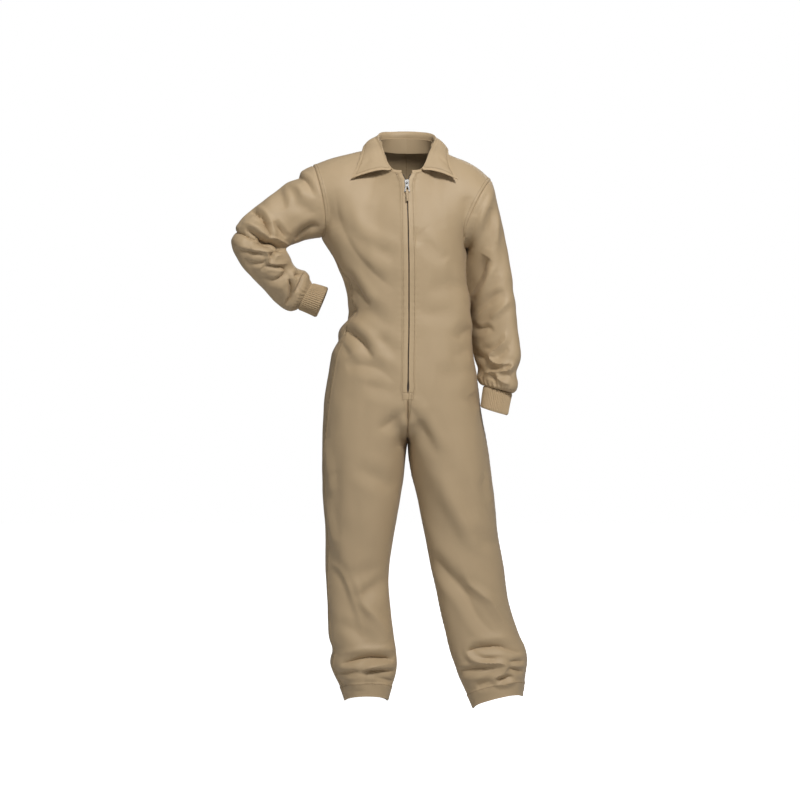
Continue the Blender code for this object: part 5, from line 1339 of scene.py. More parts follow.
def front_height(piece):
    """Placket, side seam, shoulder and hem of a front."""
    first, last, top, bottom = map(piece.away, EDGES)
    down = -piece.grid[..., 2]
    above = 1 - ease(down, BOX_END + 1, BOX_END + 2.5)
    height = above * laid_over(first, PLACKET, RAISE, EDGE_STEP)
    height += above * pucker(down, np.abs(first - PLACKET), *PUCKERS["placket"])
    height -= above * pressed(first - PLACKET_ROW)
    within = 1 - ease(first, BOX_HALF, BOX_HALF + 1)
    height -= within * (pressed(down - BOX_START) + pressed(down - BOX_END))
    height += (1 - above) * (seam_dip(first) + laid_over(first, FELL, FELL_HEIGHT))
    side = below_yoke(piece)
    height += seam_dip(last) + side * laid_over(last, FELL, FELL_HEIGHT)
    height += pucker(down, last, *PUCKERS["side"])
    height += (1 - side) * laid_over(last, ARMHOLE_FELL, FELL_HEIGHT)
    height += seam_dip(top) * ease(first, 2.0, 6.0)
    return height + hem_height(first, bottom)


def back_height(piece):
    """Centre back seam, side seam, shoulder and hem of a back."""
    first, last, top, bottom = map(piece.away, EDGES)
    down = -piece.grid[..., 2]
    height = seam_dip(last) + seam_dip(first) + seam_dip(top)
    if piece.name.endswith("left"):
        height += laid_over(last, FELL, FELL_HEIGHT)
    height += (1 - below_yoke(piece)) * laid_over(first, ARMHOLE_FELL, FELL_HEIGHT)
    height += laid_over(top, FELL, FELL_HEIGHT)
    height += pucker(down, last, *PUCKERS["back_side"]) + pucker(down, first, *PUCKERS["centre_back"])
    return height + hem_height(first, bottom)


def sleeve_height(piece):
    """Armhole seam, underarm seam and the gathered end of a sleeve."""
    around, back, top, bottom = map(piece.away, EDGES)
    height = seam_dip(top) + seam_dip(bottom, 0.5) + seam_dip(np.minimum(around, back), 0.5)
    return height + pucker(around, top, *PUCKERS["armhole"])


def stand_height(piece):
    """The neck seam of the collar's stand."""
    return seam_dip(piece.away("top"), 0.4)


HEIGHTS = {"front": front_height, "back": back_height, "sleeve": sleeve_height, "collar": stand_height}


# ================================================================ collar
def stand_grid(panels):
    """The stand, from the right front corner round the nape to the left one; rows run upwards."""
    seam = np.concatenate([
        panels["front_right"].grid[0, :-FRONT_SHOULDER],
        panels["back_right"].grid[0, BACK_SHOULDER:][1:],
        panels["back_left"].grid[0, BACK_SHOULDER:][::-1][1:],
        panels["front_left"].grid[0, :-FRONT_SHOULDER][::-1][1:],
    ])
    middle = np.array([NECK_X, NECK_Y])
    top = seam.copy()
    for point in top:
        turn = abs(neck_turn(point))
        point[:2] += unit(middle - point[:2]) * reading(STAND, "lean", turn)
        point[2] += reading(STAND, "rise", turn)
    shares = np.linspace(0, 1, STAND_LINES)[:, None, None]
    return seam + (top - seam) * shares


def neck_turn(point):
    """The angle of a point round the neck, from the nape, the wearer's right negative."""
    reach = NECK_FRONT if point[1] < NECK_Y else NECK_BACK
    return math.degrees(math.atan2((point[0] - NECK_X) / NECK_HALF_WIDTH, (point[1] - NECK_Y) / reach))


def fall_grid(stand):
    """The fall's visible face: from outside the stand's top, up over the roll and down to its edge."""
    line = stand.face[-1]
    turns = np.array([neck_turn(point) for point in stand.face[0]])
    foot = line - unit(line - stand.face[0]) * FALL_FOOT + stand.normals[-1] * ROLL_CLEAR
    places = np.linspace(FALL[0].turn, FALL[-1].turn, FALL_COLUMNS)
    up = np.array([0.0, 0.0, 1.0])
    columns = []
    for turn in places:
        row = {name: reading(FALL, name, turn) for name in Fall._fields}
        base, top = (
            np.array([np.interp(turn, turns, edge[:, k]) for k in range(3)]) for edge in (foot, line)
        )
        roll = np.array([row["roll_x"], row["roll_y"], -row["roll_down"]])
        rim = np.array([row["edge_x"], row["edge_y"], -row["edge_down"]])
        angle = math.radians(turn)
        reach = NECK_FRONT if abs(turn) > 90 else NECK_BACK
        out = unit(np.array([math.sin(angle) / NECK_HALF_WIDTH, math.cos(angle) / reach, 0.0]))
        roll += out * max(0, FALL_ROLL + ROLL_CLEAR - (roll - top) @ out)
        roll += up * max(0, FALL_ROLL + ROLL_CLEAR - (roll - top)[2])
        inner_roll = roll - out * FALL_ROLL - up * FALL_ROLL
        outer_roll = roll + out * FALL_ROLL - up * FALL_ROLL
        bulge = (out * FALL_OUT + up * FALL_UP) * FALL_BULGE
        middle = outer_roll + (rim - outer_roll) * FALL_MIDDLE + bulge
        fall = [outer_roll * (1 - t) ** 2 + middle * 2 * t * (1 - t) + rim * t ** 2 for t in FALL_SHARES]
        columns.append([base, inner_roll, roll, outer_roll, *fall, rim])
    return refined(np.array(columns).transpose(1, 0, 2), [PLAIN_CELL] * 3 + [EVEN[5]] * 3 + [SEAM_CELL])


def fall_height(fall):
    """The fall's stitched margin, its small creases and its soft unevenness."""
    around, back, edge = map(fall.away, ("first", "last", "bottom"))
    margin = np.minimum(np.minimum(around, back), edge)
    height = -MARGIN_GROOVE * np.exp(-((margin - COLLAR_MARGIN) / MARGIN_PRESS) ** 2)
    height += pucker(around + edge, np.abs(margin - COLLAR_MARGIN), *PUCKERS["collar"])
    points = fall.grid.reshape(-1, 3)
    uneven = COLLAR_SLACK_SHARE * slack(points, *COLLAR_SLACK).reshape(height.shape)
    height += uneven * ease(edge, 0, COLLAR_SLACK_EDGE)
    for crease in COLLAR_CREASES:
        start, end = np.array(crease.start, float), np.array(crease.end, float)
        seen = fall.grid[..., [0, 2]] * (1, -1)
        span = end - start
        t = np.clip(((seen - start) @ span) / (span @ span), 0, 1)
        gap = np.linalg.norm(seen - start - t[..., None] * span, axis=2)
        facing = ease(-fall.normals[..., 1], *CREASE_FACING)
        height += crease.height * np.exp(-(gap / crease.width) ** 2) * facing
    return height


# ================================================================ meshes
def boundary(rows, columns, closed):
    """The places round the edge of a grid, as closed loops of (row, column)."""
    if closed:
        return [[(row, column) for column in range(columns - 1)] for row in (0, rows - 1)]
    loop = [(0, column) for column in range(columns)]
    loop += [(row, columns - 1) for row in range(1, rows)]
    loop += [(rows - 1, column) for column in range(columns - 2, -1, -1)]
    loop += [(row, 0) for row in range(rows - 2, 0, -1)]
    return [loop]


def is_free(row, column, rows, columns, closed, free):
    """Whether a place on the edge lies on free edges alone."""
    on = {"top": row == 0, "bottom": row == rows - 1}
    if not closed:
        on.update(first=column == 0, last=column == columns - 1)
    return all(name in free for name, there in on.items() if there)


def flat_places(grid):
    """Each point's place on the flat cloth: across from the middle of its row, and along its column."""
    across = run_along(grid)
    along_it = run_along(grid.swapaxes(0, 1)).T
    return np.stack([across - across[:, -1:] / 2, -along_it], -1)


def shell(name, outer, inner, material, closed=False, free=(), wear=None):
    """A thin closed shell between two grids, with its free edges rounded."""
    rows, columns = outer.shape[:2]
    flat = flat_places(outer) * MM
    wrap = columns - 1 if closed else columns
    index = np.arange(rows)[:, None] * wrap + np.arange(columns) % wrap
    behind = index + rows * wrap
    points = [outer[:, :wrap].reshape(-1, 3), inner[:, :wrap].reshape(-1, 3)]
    faces, places = [], []
    for layer in (index, behind):
        for grid, store in ((layer, faces), (flat, places)):
            corners = (grid[:-1, :-1], grid[:-1, 1:], grid[1:, 1:], grid[1:, :-1])
            store.append(np.stack(corners, 2).reshape(-1, 4, *grid.shape[2:]))
    total = 2 * rows * wrap
    for loop in boundary(rows, columns, closed):
        at = tuple(np.array(loop).T)
        row_in, column_in = np.clip(at[0], 1, rows - 2), at[1] if closed else np.clip(at[1], 1, columns - 2)
        outward = unit(outer[at] - outer[row_in, column_in])
        thick = np.linalg.norm(outer[at] - inner[at], axis=1)
        rounded = [ROUNDED * is_free(*place, rows, columns, closed, free) for place in loop]
        points.append((outer[at] + inner[at]) / 2 + outward * (thick * rounded)[:, None])
        middle = total + np.arange(len(loop))
        total += len(loop)
        for one, two in ((index[at], middle), (middle, behind[at])):
            faces.append(np.stack([one, np.roll(one, -1), np.roll(two, -1), two], 1))
            here = flat[at]
            places.append(np.stack([here, np.roll(here, -1, 0), np.roll(here, -1, 0), here], 1))
    worn = np.zeros(total)
    if wear is not None:
        worn[:rows * wrap] = wear[:, :wrap].ravel()
    return cloth_mesh(name, *map(np.concatenate, (points, faces, places)), worn, material)


def cloth_mesh(name, points, faces, places, worn, material):
    """A smooth mesh that carries its flat cloth's places and where it is worn."""
    mesh = bpy.data.meshes.new(name)
    mesh.from_pydata((points * MM).tolist(), [], faces.tolist())
    flat = mesh.uv_layers.new(name="cloth")
    flat.data.foreach_set("uv", places.ravel())
    mesh.attributes.new("wear", "FLOAT", "POINT").data.foreach_set("value", worn)
    return finished(name, mesh, material)


def finished(name, mesh, material):
    """Turn a mesh's faces outwards, smooth it and put it in the scene."""
    bm = bmesh.new()
    bm.from_mesh(mesh)
    bmesh.ops.recalc_face_normals(bm, faces=bm.faces)
    bm.to_mesh(mesh)
    bm.free()
    mesh.materials.append(material)
    mesh.shade_smooth()
    mesh.set_sharp_from_angle(angle=math.radians(SHARP_ANGLE))
    item = bpy.data.objects.new(name, mesh)
    bpy.context.scene.collection.objects.link(item)
    return item


def belongs(item, node, body=SUIT_BODY):
    """Hang a piece on its body, in place of its solid."""
    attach(item, body)
    if node:
        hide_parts(node)


# ================================================================ threads and teeth
def line_beside(piece, edge, distance, start=0, end=None):
    """Points and normals of a line that runs beside an edge of a piece, at a distance from it."""
    away, grid, normals = piece.away(edge), piece.face, piece.normals
    if edge in ("top", "bottom"):
        away, grid, normals = away.T, grid.swapaxes(0, 1), normals.swapaxes(0, 1)
    if edge in ("last", "bottom"):
        away, grid, normals = away[:, ::-1], grid[:, ::-1], normals[:, ::-1]
    line = []
    for run, points, facing in zip(away[start:end], grid[start:end], normals[start:end]):
        both = np.concatenate([points, facing], 1)
        line.append([np.interp(distance, run, both[:, k]) for k in range(6)])
    line = np.array(line)
    return line[:, :3], unit(line[:, 3:])


def evenly(points, normals, pitch):
    """A line and its normals, divided into equal steps near a pitch."""
    count = max(2, round(length(points) / pitch))
    places = np.linspace(0, length(points), count + 1)
    both = np.concatenate([points, normals], 1)
    run = run_of(points)
    line = np.stack([np.interp(places, run, both[:, k]) for k in range(6)], 1)
    return line[:, :3], unit(line[:, 3:])


def tubes(name, rings, rings_each, material):
    """Many small closed tubes in one mesh, from all their rings of points in order."""
    size = rings_each * len(rings[0])
    index = np.arange(size).reshape(rings_each, -1)
    one = []
    for upper, lower in zip(index, index[1:]):
        one += np.stack([upper, np.roll(upper, -1), np.roll(lower, -1), lower], 1).tolist()
    one += [index[0][::-1].tolist(), index[-1].tolist()]
    points = np.concatenate(rings) * MM
    faces = [[start + place for place in face] for start in range(0, len(points), size) for face in one]
    mesh = bpy.data.meshes.new(name)
    mesh.from_pydata(points.tolist(), [], faces)
    return finished(name, mesh, material)


def sewn(name, runs, cloth, material, body=SUIT_BODY):
    """Rows of stitches: each stitch a short thread that rises from the cloth and dives back into it."""
    radius = cloth.thread_width / MM / 2
    pitch = (cloth.stitch_length + cloth.stitch_gap) / MM
    share = cloth.stitch_length / (cloth.stitch_length + cloth.stitch_gap)
    ring = np.linspace(0, 2 * math.pi, THREAD_SIDES, endpoint=False)
    rings = []
    for line, normals in runs:
        line, normals = evenly(line, normals, pitch)
        along_it = np.diff(line, axis=0) * share
        up = unit(normals[:-1] + normals[1:])
        side = unit(np.cross(along_it, up))
        for start, step, out, over in zip(line[:-1], along_it, up, side):
            for place, rise, size in THREAD_FORM:
                centre = start + step * place + out * rise * radius
                circle = np.cos(ring)[:, None] * over + np.sin(ring)[:, None] * out
                rings.append(centre + circle * radius * size)
    belongs(tubes(name, rings, len(THREAD_FORM), material), None, body)


# ================================================================ cuffs
def cuff_grids(side, knit):
    """A ribbed tube that folds over at its end: outer and inner faces."""
    columns = knit.ribs * RIB_COLUMNS
    start = sleeve_ring(SLEEVES[side][-1], columns)
    end = sleeve_ring(CUFF_ENDS[side], columns)
    axis = unit(end[:-1].mean(0) - start[:-1].mean(0))
    turn = np.linspace(0, 2 * math.pi * knit.ribs, columns + 1)
    ribs = knit.rib_height / MM * (0.5 + 0.5 * np.cos(turn)) ** RIB_ROUND
    outer, inner = [], []
    for share in CUFF_LINES:
        ring = start + (end - start) * share
        outward = ring - ring[:-1].mean(0)
        outward = unit(outward - (outward @ axis)[:, None] * axis)
        full = ease(share, 0.0, CUFF_START) * (1 - ease(share, CUFF_TURN, 1.0))
        sway = CUFF_SWAY * np.sin(SWAY_WAVES * turn / knit.ribs + SWAY_SHIFT * share)
        height = ribs * (RIB_AT_ENDS + (1 - RIB_AT_ENDS) * full) + sway
        height += -CUFF_INSET - CUFF_END_INSET * (1 - full)
        outer.append(ring + outward * height[:, None])
        inner.append(ring - outward * (CUFF_INSET + KNIT_THICK - RIB_INSIDE * ribs)[:, None])
    return np.array(outer), np.array(inner)


# ================================================================ zip
def column_at(grid, distance, down):
    """A point beside a front's folded edge at a level."""
    run = run_along(grid)
    line = np.array([[np.interp(distance, r, row[:, k]) for k in range(3)] for r, row in zip(run, grid)])
    order = np.argsort(-line[:, 2])
    return np.stack([np.interp(down, -line[order, 2], line[order, k]) for k in range(3)], -1)


def zip_line(fronts, levels):
    """The middle of the closed zip: points, the direction across and the direction out of the cloth."""
    left, right = (column_at(fronts[side], 0, levels) for side in ("left", "right"))
    middle = (left + right) / 2
    across = np.tile([1.0, 0.0, 0.0], (len(levels), 1))
    return middle, across, unit(np.cross(np.gradient(middle, axis=0), across))


def tape(side, near, far, outward):
    """A woven tape between two lines of points, behind the cloth."""
    shares = np.linspace(0, 1, STRIP_COLUMNS)[:, None, None]
    front = (near + (far - near) * shares).transpose(1, 0, 2) - outward[:, None] * TAPE_DEEP
    behind = front - outward[:, None] * TAPE_THICK
    item = shell(f"zip_tape_{side}_weave", front, behind, finish_of("tape"), free=("first", "last"))
    belongs(item, "zip_tape_" + side)
    return item


def tooth_form(zip_size):
    """One turn of the coil as it shows: a rounded lug that lies across the zip."""
    half, thick = zip_size.tooth_length / MM / 2, zip_size.tooth_width / MM / 2
    turn = np.linspace(0, 2 * math.pi, TOOTH_SIDES, endpoint=False)
    drop, lift = thick * np.cos(turn), thick * np.sin(turn)
    return [(half * ring.place, ring.size * drop, ring.size * lift + ring.rise) for ring in TOOTH_FORM]


def coil(name, rows, zip_size, node):
    """Rows of teeth: each row is points, directions across the zip and directions out of it."""
    form = tooth_form(zip_size)
    shift = zip_size.tooth_length / MM * TOOTH_SHIFT
    rings = []
    for line, across, outward in rows:
        for place, side, out in zip(line, across, outward):
            down = np.cross(side, out)
            for reach, drop, rise in form:
                rings.append(place + side * (reach + shift) + np.outer(drop, down) + np.outer(rise, out))
    belongs(tubes(name, rings, len(form), finish_of("coil")), node)


def pull_frame():
    """The pull's hinge and its directions across, up and out, from the frame's joint and the tab's solid."""
    joint = frame["joints"][0]
    hinge = np.array(joint["pos_m"]) / MM
    across = -unit(np.array(joint["axis"], float))
    corners = np.array([vertex.co for vertex in frame["nodes"]["zip_pull_tab"].data.vertices]) / MM
    up = unit(hinge - corners.mean(0))
    up = unit(up - across * (up @ across))
    return hinge, across, up, np.cross(across, up)


def tab_loop():
    """The cloth tab's middle line: up its front, over the foot of the metal pull, and down its back."""
    front = [TabPoint(*point) for point in TAB_FRONT]
    line = front[::-1] + [*TAB_FOOT] + [TabPoint(-point.out, point.up) for point in front]
    return refined(np.array(line), [PLAIN_CELL] * (len(line) - 1))


# ================================================================ finishes
def node(tree, kind, settings=None, **inputs):
    """A shader node with its settings and input values; a socket given as an input is linked."""
    item = tree.nodes.new(kind)
    for name, value in (settings or {}).items():
        setattr(item, name, value)
    for name, value in inputs.items():
        numbered = name[0] == "i" and name[1:].isdigit()
        socket = item.inputs[int(name[1:]) if numbered else name.replace("_", " ")]
        if isinstance(value, bpy.types.NodeSocket):
            tree.links.new(value, socket)
        else:
            socket.default_value = value
    return item


def new_finish(name, roughness, metallic=0.0, sheen=0.0):
    """A material, its node tree and its shader."""
    material = bpy.data.materials.new(name)
    material.use_nodes = True
    shader = material.node_tree.nodes["Principled BSDF"]
    shader.inputs["Roughness"].default_value = roughness
    shader.inputs["Metallic"].default_value = metallic
    shader.inputs["Sheen Weight"].default_value = sheen
    shader.inputs["Sheen Roughness"].default_value = 0.5
    return material, material.node_tree, shader


def cloth_place(tree):
    """The flat cloth's own position, in metres."""
    return node(tree, "ShaderNodeUVMap", {"uv_map": "cloth"}).outputs[0]


def object_place(tree):
    """The position on the object."""
    return node(tree, "ShaderNodeTexCoord").outputs["Object"]


def bumped(tree, shader, height, strength, distance):
    """Fine relief on a finish."""
    bump = node(tree, "ShaderNodeBump", None, Strength=strength, Distance=distance, Height=height)
    tree.links.new(bump.outputs[0], shader.inputs["Normal"])


def shade_of(colour, factor):
    """A colour made darker or lighter."""
    return (*[min(1.0, part * factor) for part in colour[:3]], 1.0)


def mixed(tree, factor, one, two):
    """A colour mix of two colours or sockets."""
    mix = tree.nodes.new("ShaderNodeMix")
    mix.data_type = "RGBA"
    for index, value in ((0, factor), (6, one), (7, two)):
        if isinstance(value, bpy.types.NodeSocket):
            tree.links.new(value, mix.inputs[index])
        else:
            mix.inputs[index].default_value = value
    return mix.outputs[2]


def bands(tree, place, turn, pitch, distortion=0.0):
    """Soft parallel lines across flat cloth, at a turn and a pitch in metres."""
    turned = node(tree, "ShaderNodeMapping", {"vector_type": "POINT"}, Vector=place, Rotation=(0, 0, turn))
    wave = node(tree, "ShaderNodeTexWave", {"wave_type": "BANDS", "bands_direction": "X"},
                Vector=turned.outputs[0], Scale=WAVE_PERIOD / pitch, Distortion=distortion, Detail=1.0)
    return wave.outputs["Fac"]


def speckle(tree, place, size, detail=2.0):
    """Uneven spots of a size in metres."""
    return node(tree, "ShaderNodeTexNoise", None, Vector=place, Scale=1 / size, Detail=detail).outputs["Fac"]


def times(tree, one, two, operation="MULTIPLY"):
    """Two values multiplied, or combined in another way."""
    return node(tree, "ShaderNodeMath", {"operation": operation}, i0=one, i1=two).outputs[0]


def ranged(tree, value, low, high):
    """A value from 0 to 1 turned into one from low to high."""
    return node(tree, "ShaderNodeMapRange", None, Value=value, To_Min=low, To_Max=high).outputs[0]


def twill_finish(cloth):
    """Cotton twill: fine diagonal lines, flecked yarn, soft clouds of colour and paler worn edges."""
    material, tree, shader = new_finish("khaki_twill", cloth.roughness, sheen=cloth.sheen)
    place, around, colour = cloth_place(tree), object_place(tree), cloth.colour
    lines = bands(tree, place, TWILL_TURN, cloth.twill_pitch, 0.8)
    yarns = bands(tree, place, 0.0, cloth.twill_pitch * 0.55, 0.4)
    fleck = speckle(tree, place, 0.0011, 3.0)
    cloud = speckle(tree, around, 0.16, 3.0)
    base = mixed(tree, ranged(tree, cloud, 0.0, 1.0), shade_of(colour, 0.93), shade_of(colour, 1.06))
    base = mixed(tree, ranged(tree, fleck, 0.0, 0.34), base, shade_of(colour, 0.74))
    base = mixed(tree, ranged(tree, lines, 0.0, 0.16), base, shade_of(colour, 1.25))
    worn = node(tree, "ShaderNodeAttribute", {"attribute_name": "wear"}).outputs["Fac"]
    base = mixed(tree, times(tree, worn, 0.35), base, shade_of(colour, 1.35))
    tree.links.new(base, shader.inputs["Base Color"])
    height = times(tree, times(tree, lines, 0.65), times(tree, yarns, 0.35), "ADD")
    height = times(tree, height, times(tree, fleck, 0.5), "ADD")
    bump = node(tree, "ShaderNodeBump", None, Strength=0.35, Distance=cloth.twill_pitch * 0.16, Height=height)
    soft = speckle(tree, around, 0.02, 2.0)
    bump = node(tree, "ShaderNodeBump", None, Strength=0.25, Distance=0.0006, Height=soft,
                Normal=bump.outputs[0])
    tree.links.new(bump.outputs[0], shader.inputs["Normal"])
    return material


def knit_finish(cloth):
    """Rib knit: rows of small loops along each rib, with painted shade darkening the channels between them.
    """
    material, tree, shader = new_finish("khaki_rib_knit", 0.9, sheen=cloth.sheen)
    place = cloth_place(tree)
    rise = bands(tree, place, math.radians(62), 0.0011, 0.6)
    fall = bands(tree, place, math.radians(118), 0.0011, 0.6)
    loops = times(tree, rise, fall, "MAXIMUM")
    fleck = speckle(tree, place, 0.0009, 3.0)
    # channel is a painted shade colour for the gaps between the loops; light and dark are the yarn's own
    # flecked tones
    light, dark, channel = (shade_of(cloth.colour, factor) for factor in (1.08, 0.8, 0.62))
    base = mixed(tree, ranged(tree, fleck, 0.0, 0.2), light, dark)
    # painted shade: darker where the loop bands are low, in the channels between the loops
    base = mixed(tree, ranged(tree, loops, 0.14, 0.0), base, channel)
    tree.links.new(base, shader.inputs["Base Color"])
    bumped(tree, shader, loops, 0.5, 0.00025)
    return material


def thread_finish(cloth):
    """Sewing thread: two strands twisted together, darkened partly as painted shade so stitch rows show as
    dark lines.
    """
    material, tree, shader = new_finish("khaki_thread", 0.95)
    shader.inputs["Specular IOR Level"].default_value = 0.1
    around = object_place(tree)
    twist = bands(tree, around, math.radians(35), 0.0007, 1.5)
    # painted shade, in part: the thread is the cloth colour at half and at three quarters, dark so that the
    # rows read as shaded seams
    dark, light = (shade_of(cloth.colour, factor) for factor in (0.5, 0.78))
    base = mixed(tree, ranged(tree, twist, 0.0, 1.0), dark, light)
    tree.links.new(base, shader.inputs["Base Color"])
    bumped(tree, shader, twist, 0.4, 0.0001)
    return material


def tape_finish(zip_size):
    """Woven zip tape: a fine herringbone."""
    material, tree, shader = new_finish("zip_tape_weave", 0.85)
    place = cloth_place(tree)
    bone = times(tree, bands(tree, place, 0.9, 0.0009), bands(tree, place, -0.9, 0.0009), "MAXIMUM")
    base = mixed(tree, bone, shade_of(zip_size.tape_colour, 0.8), shade_of(zip_size.tape_colour, 1.15))
    tree.links.new(base, shader.inputs["Base Color"])
    bumped(tree, shader, bone, 0.5, 0.00015)
    return material


def coil_finish(zip_size):
    """Moulded zip teeth: dark, with a slight uneven sheen."""
    material, tree, shader = new_finish("zip_teeth_dark", 0.42)
    around = object_place(tree)
    spots = speckle(tree, around, 0.002, 2.0)
    base = mixed(tree, spots, shade_of(zip_size.coil_colour, 0.8), shade_of(zip_size.coil_colour, 1.3))
    tree.links.new(base, shader.inputs["Base Color"])
    tree.links.new(ranged(tree, spots, 0.34, 0.5), shader.inputs["Roughness"])
    return material


def nickel_finish(zip_size):
    """Plated metal with fine scuffs."""
    material, tree, shader = new_finish("nickel_plate", 0.24, metallic=1.0)
    shader.inputs["Base Color"].default_value = shade_of(zip_size.metal_colour, 1.0)
    around = object_place(tree)
    scuffs = speckle(tree, around, 0.0014, 4.0)
    tree.links.new(ranged(tree, scuffs, 0.3, 0.5), shader.inputs["Roughness"])
    bumped(tree, shader, scuffs, 0.12, 0.0001)
    return material


def floor_finish(stage):
    """Matt pale paper."""
    material, tree, shader = new_finish("stage_paper", 0.9)
    around = object_place(tree)
    grain = speckle(tree, around, 0.03, 2.0)
    base = mixed(tree, grain, shade_of(stage.paper_colour, 0.995), shade_of(stage.paper_colour, 1.0))
    tree.links.new(base, shader.inputs["Base Color"])
    shader.inputs["Emission Color"].default_value = (1.0, 1.0, 1.0, 1.0)
    tree.links.new(seen_or_lit(tree, stage.paper_glow, 0.0), shader.inputs["Emission Strength"])
    return material


FINISHES = {
    "twill": (twill_finish, "suit_cloth"),
    "knit": (knit_finish, "suit_cloth"),
    "thread": (thread_finish, "suit_cloth"),
    "tape": (tape_finish, "suit_zip"),
    "coil": (coil_finish, "suit_zip"),
    "nickel": (nickel_finish, "suit_zip"),
}


@lru_cache(maxsize=None)
def finish_of(kind):
    """Each finish is made once, from the scene's settings."""
    maker, settings = FINISHES[kind]
    return maker(getattr(bpy.context.scene, settings))


# ================================================================ settings
def metres(name, description, default, low=0.0, high=1.0):
    """A length setting."""
    return FloatProperty(name=name, description=description, default=default, min=low, max=high,
                         unit="LENGTH", precision=5)


def power(name, description, default):
    """A lamp's power setting."""
    return FloatProperty(name=name, description=description, default=default, unit="POWER")


def colour(name, description, default):
    """A colour setting."""
    return FloatVectorProperty(name=name, description=description, default=default, min=0, max=1,
                               size=3, subtype="COLOR")


class SuitCloth(PropertyGroup):
    """The twill, its thread and how it lies."""

    colour: colour("Cloth colour", "Colour of the khaki twill", (0.412, 0.300, 0.174))
    thickness: metres("Cloth thickness", "Thickness of one layer of twill", 0.0014, 0.0005, 0.003)
    twill_pitch: metres("Twill pitch", "Distance between two diagonal lines", 0.0011, 0.0003, 0.005)
    roughness: FloatProperty(name="Roughness", description="Roughness of the cloth", default=0.6,
                             min=0, max=1)
    sheen: FloatProperty(name="Sheen", description="Soft sheen of the fibres", default=0.05, min=0, max=1)
    folds: FloatProperty(name="Folds", description="Strength of the folds as worn", default=1.1, min=0, max=2)
    slack: metres("Slack", "Height of the soft unevenness of the cloth", 0.0006, 0, 0.005)
    stitch_length: metres("Stitch length", "Length of thread that shows in one stitch", 0.0023, 0.001, 0.006)
    stitch_gap: metres("Stitch gap", "Cloth that shows between two stitches", 0.0005, 0.0002, 0.004)
    thread_width: metres("Thread width", "Thickness of the sewing thread", 0.0008, 0.0002, 0.002)


class SuitCuffs(PropertyGroup):
    """The rib knit of the cuffs."""

    ribs: IntProperty(name="Ribs", description="Ribs round one cuff", default=46, min=20, max=90)
    rib_height: metres("Rib height", "Height of a rib over the channel beside it", 0.0014, 0, 0.003)


class SuitZip(PropertyGroup):
    """The front zip."""

    tooth_pitch: metres("Tooth pitch", "Distance between two teeth of one row", 0.0015, 0.0008, 0.004)
    tooth_length: metres("Tooth length", "Length of a tooth across the zip", 0.0031, 0.001, 0.006)
    tooth_width: metres("Tooth width", "Width of a tooth along the zip", 0.00105, 0.0004, 0.003)
    tape_colour: colour("Tape colour", "Colour of the woven tape", (0.16, 0.12, 0.085))
    coil_colour: colour("Teeth colour", "Colour of the moulded teeth", (0.050, 0.040, 0.034))
    metal_colour: colour("Metal colour", "Colour of the slider and its pull", (0.19, 0.186, 0.18))


class SuitStage(PropertyGroup):
    """The floor, the light and the camera."""

    floor_level: FloatProperty(name="Floor level", description="Height of the floor", default=-1.136,
                               unit="LENGTH")
    paper_colour: colour("Paper colour", "Colour of the paper floor", (0.62, 0.62, 0.62))
    paper_glow: FloatProperty(name="Paper glow", description="Light of the paper itself", default=0.96, min=0)
    key_power: power("Key light", "Power of the main soft light", 153)
    fill_power: power("Fill light", "Power of the second soft light", 22)
    top_power: power("Top light", "Power of the light overhead", 14)
    rear_power: power("Rear light", "Power of the light behind", 26)
    ambient: FloatProperty(name="Ambient light", description="Strength of light from all round", default=0.12)
    focal_length: FloatProperty(name="Focal length", description="Focal length of the camera, in millimetres",
                                default=106.6, min=10, max=500)


def suit_faces():
    """The worked outer faces of the cloth, from the settings."""
    cloth = bpy.context.scene.suit_cloth
    return cut_suit(cloth.folds, cloth.slack / MM)


def worn_edges(piece, edges):
    """1 at the given edges of a piece, where cloth rubs, and 0 inside it."""
    near = np.min([piece.away(edge) for edge in edges], axis=0)
    return np.exp(-near / WEAR_WIDTH)


def cloth_piece(piece, free, worn, share=1.0):
    """The shell of one cut piece, from its worked face and one thickness of cloth."""
    thick = bpy.context.scene.suit_cloth.thickness / MM * share
    inner = piece.grid - piece.normals * thick
    item = shell(piece.name + "_cloth", piece.face, inner, finish_of("twill"), piece.closed, free,
                 worn_edges(piece, worn))
    belongs(item, piece.name)
    return item


# ================================================================ operators
class SUIT_OT_panels(Operator):
    """Make the two fronts and the two backs, each cut in one piece from neck to hem."""

    bl_idname = "suit.panels"
    bl_label = "Fronts and backs"

    def execute(self, context):
        faces = suit_faces()
        for side in SIDES:
            for face, edges in (("front", ("first", "bottom")), ("back", ("bottom",))):
                item = cloth_piece(faces[f"{face}_{side}"], edges, edges)
        return {"FINISHED"}


class SUIT_OT_sleeves(Operator):
    """Make the two set-in sleeves."""

    bl_idname = "suit.sleeves"
    bl_label = "Sleeves"

    def execute(self, context):
        faces = suit_faces()
        for side in SIDES:
            item = cloth_piece(faces["sleeve_" + side], (), ("bottom",))
        return {"FINISHED"}


@lru_cache(maxsize=1)
def made_fall():
    """The fall's worked face, over the stand's."""
    fall = Cloth("collar_fall", fall_grid(suit_faces()["collar_stand"]), -1.0)
    share_normals([fall])
    fall.face = fall.grid + fall.normals * fall_height(fall)[..., None]
    return fall


class SUIT_OT_collar(Operator):
    """Make the collar's stand and the pointed fall that turns down over it."""

    bl_idname = "suit.collar"
    bl_label = "Collar"

    def execute(self, context):
        stand = suit_faces()["collar_stand"]
        item = cloth_piece(stand, ("first", "last", "bottom"), ("bottom",), STAND_SHARE)
        fall = made_fall()
        item = cloth_piece(fall, ("first", "last", "bottom"), ("first", "last", "bottom"), FALL_SHARE)
        return {"FINISHED"}


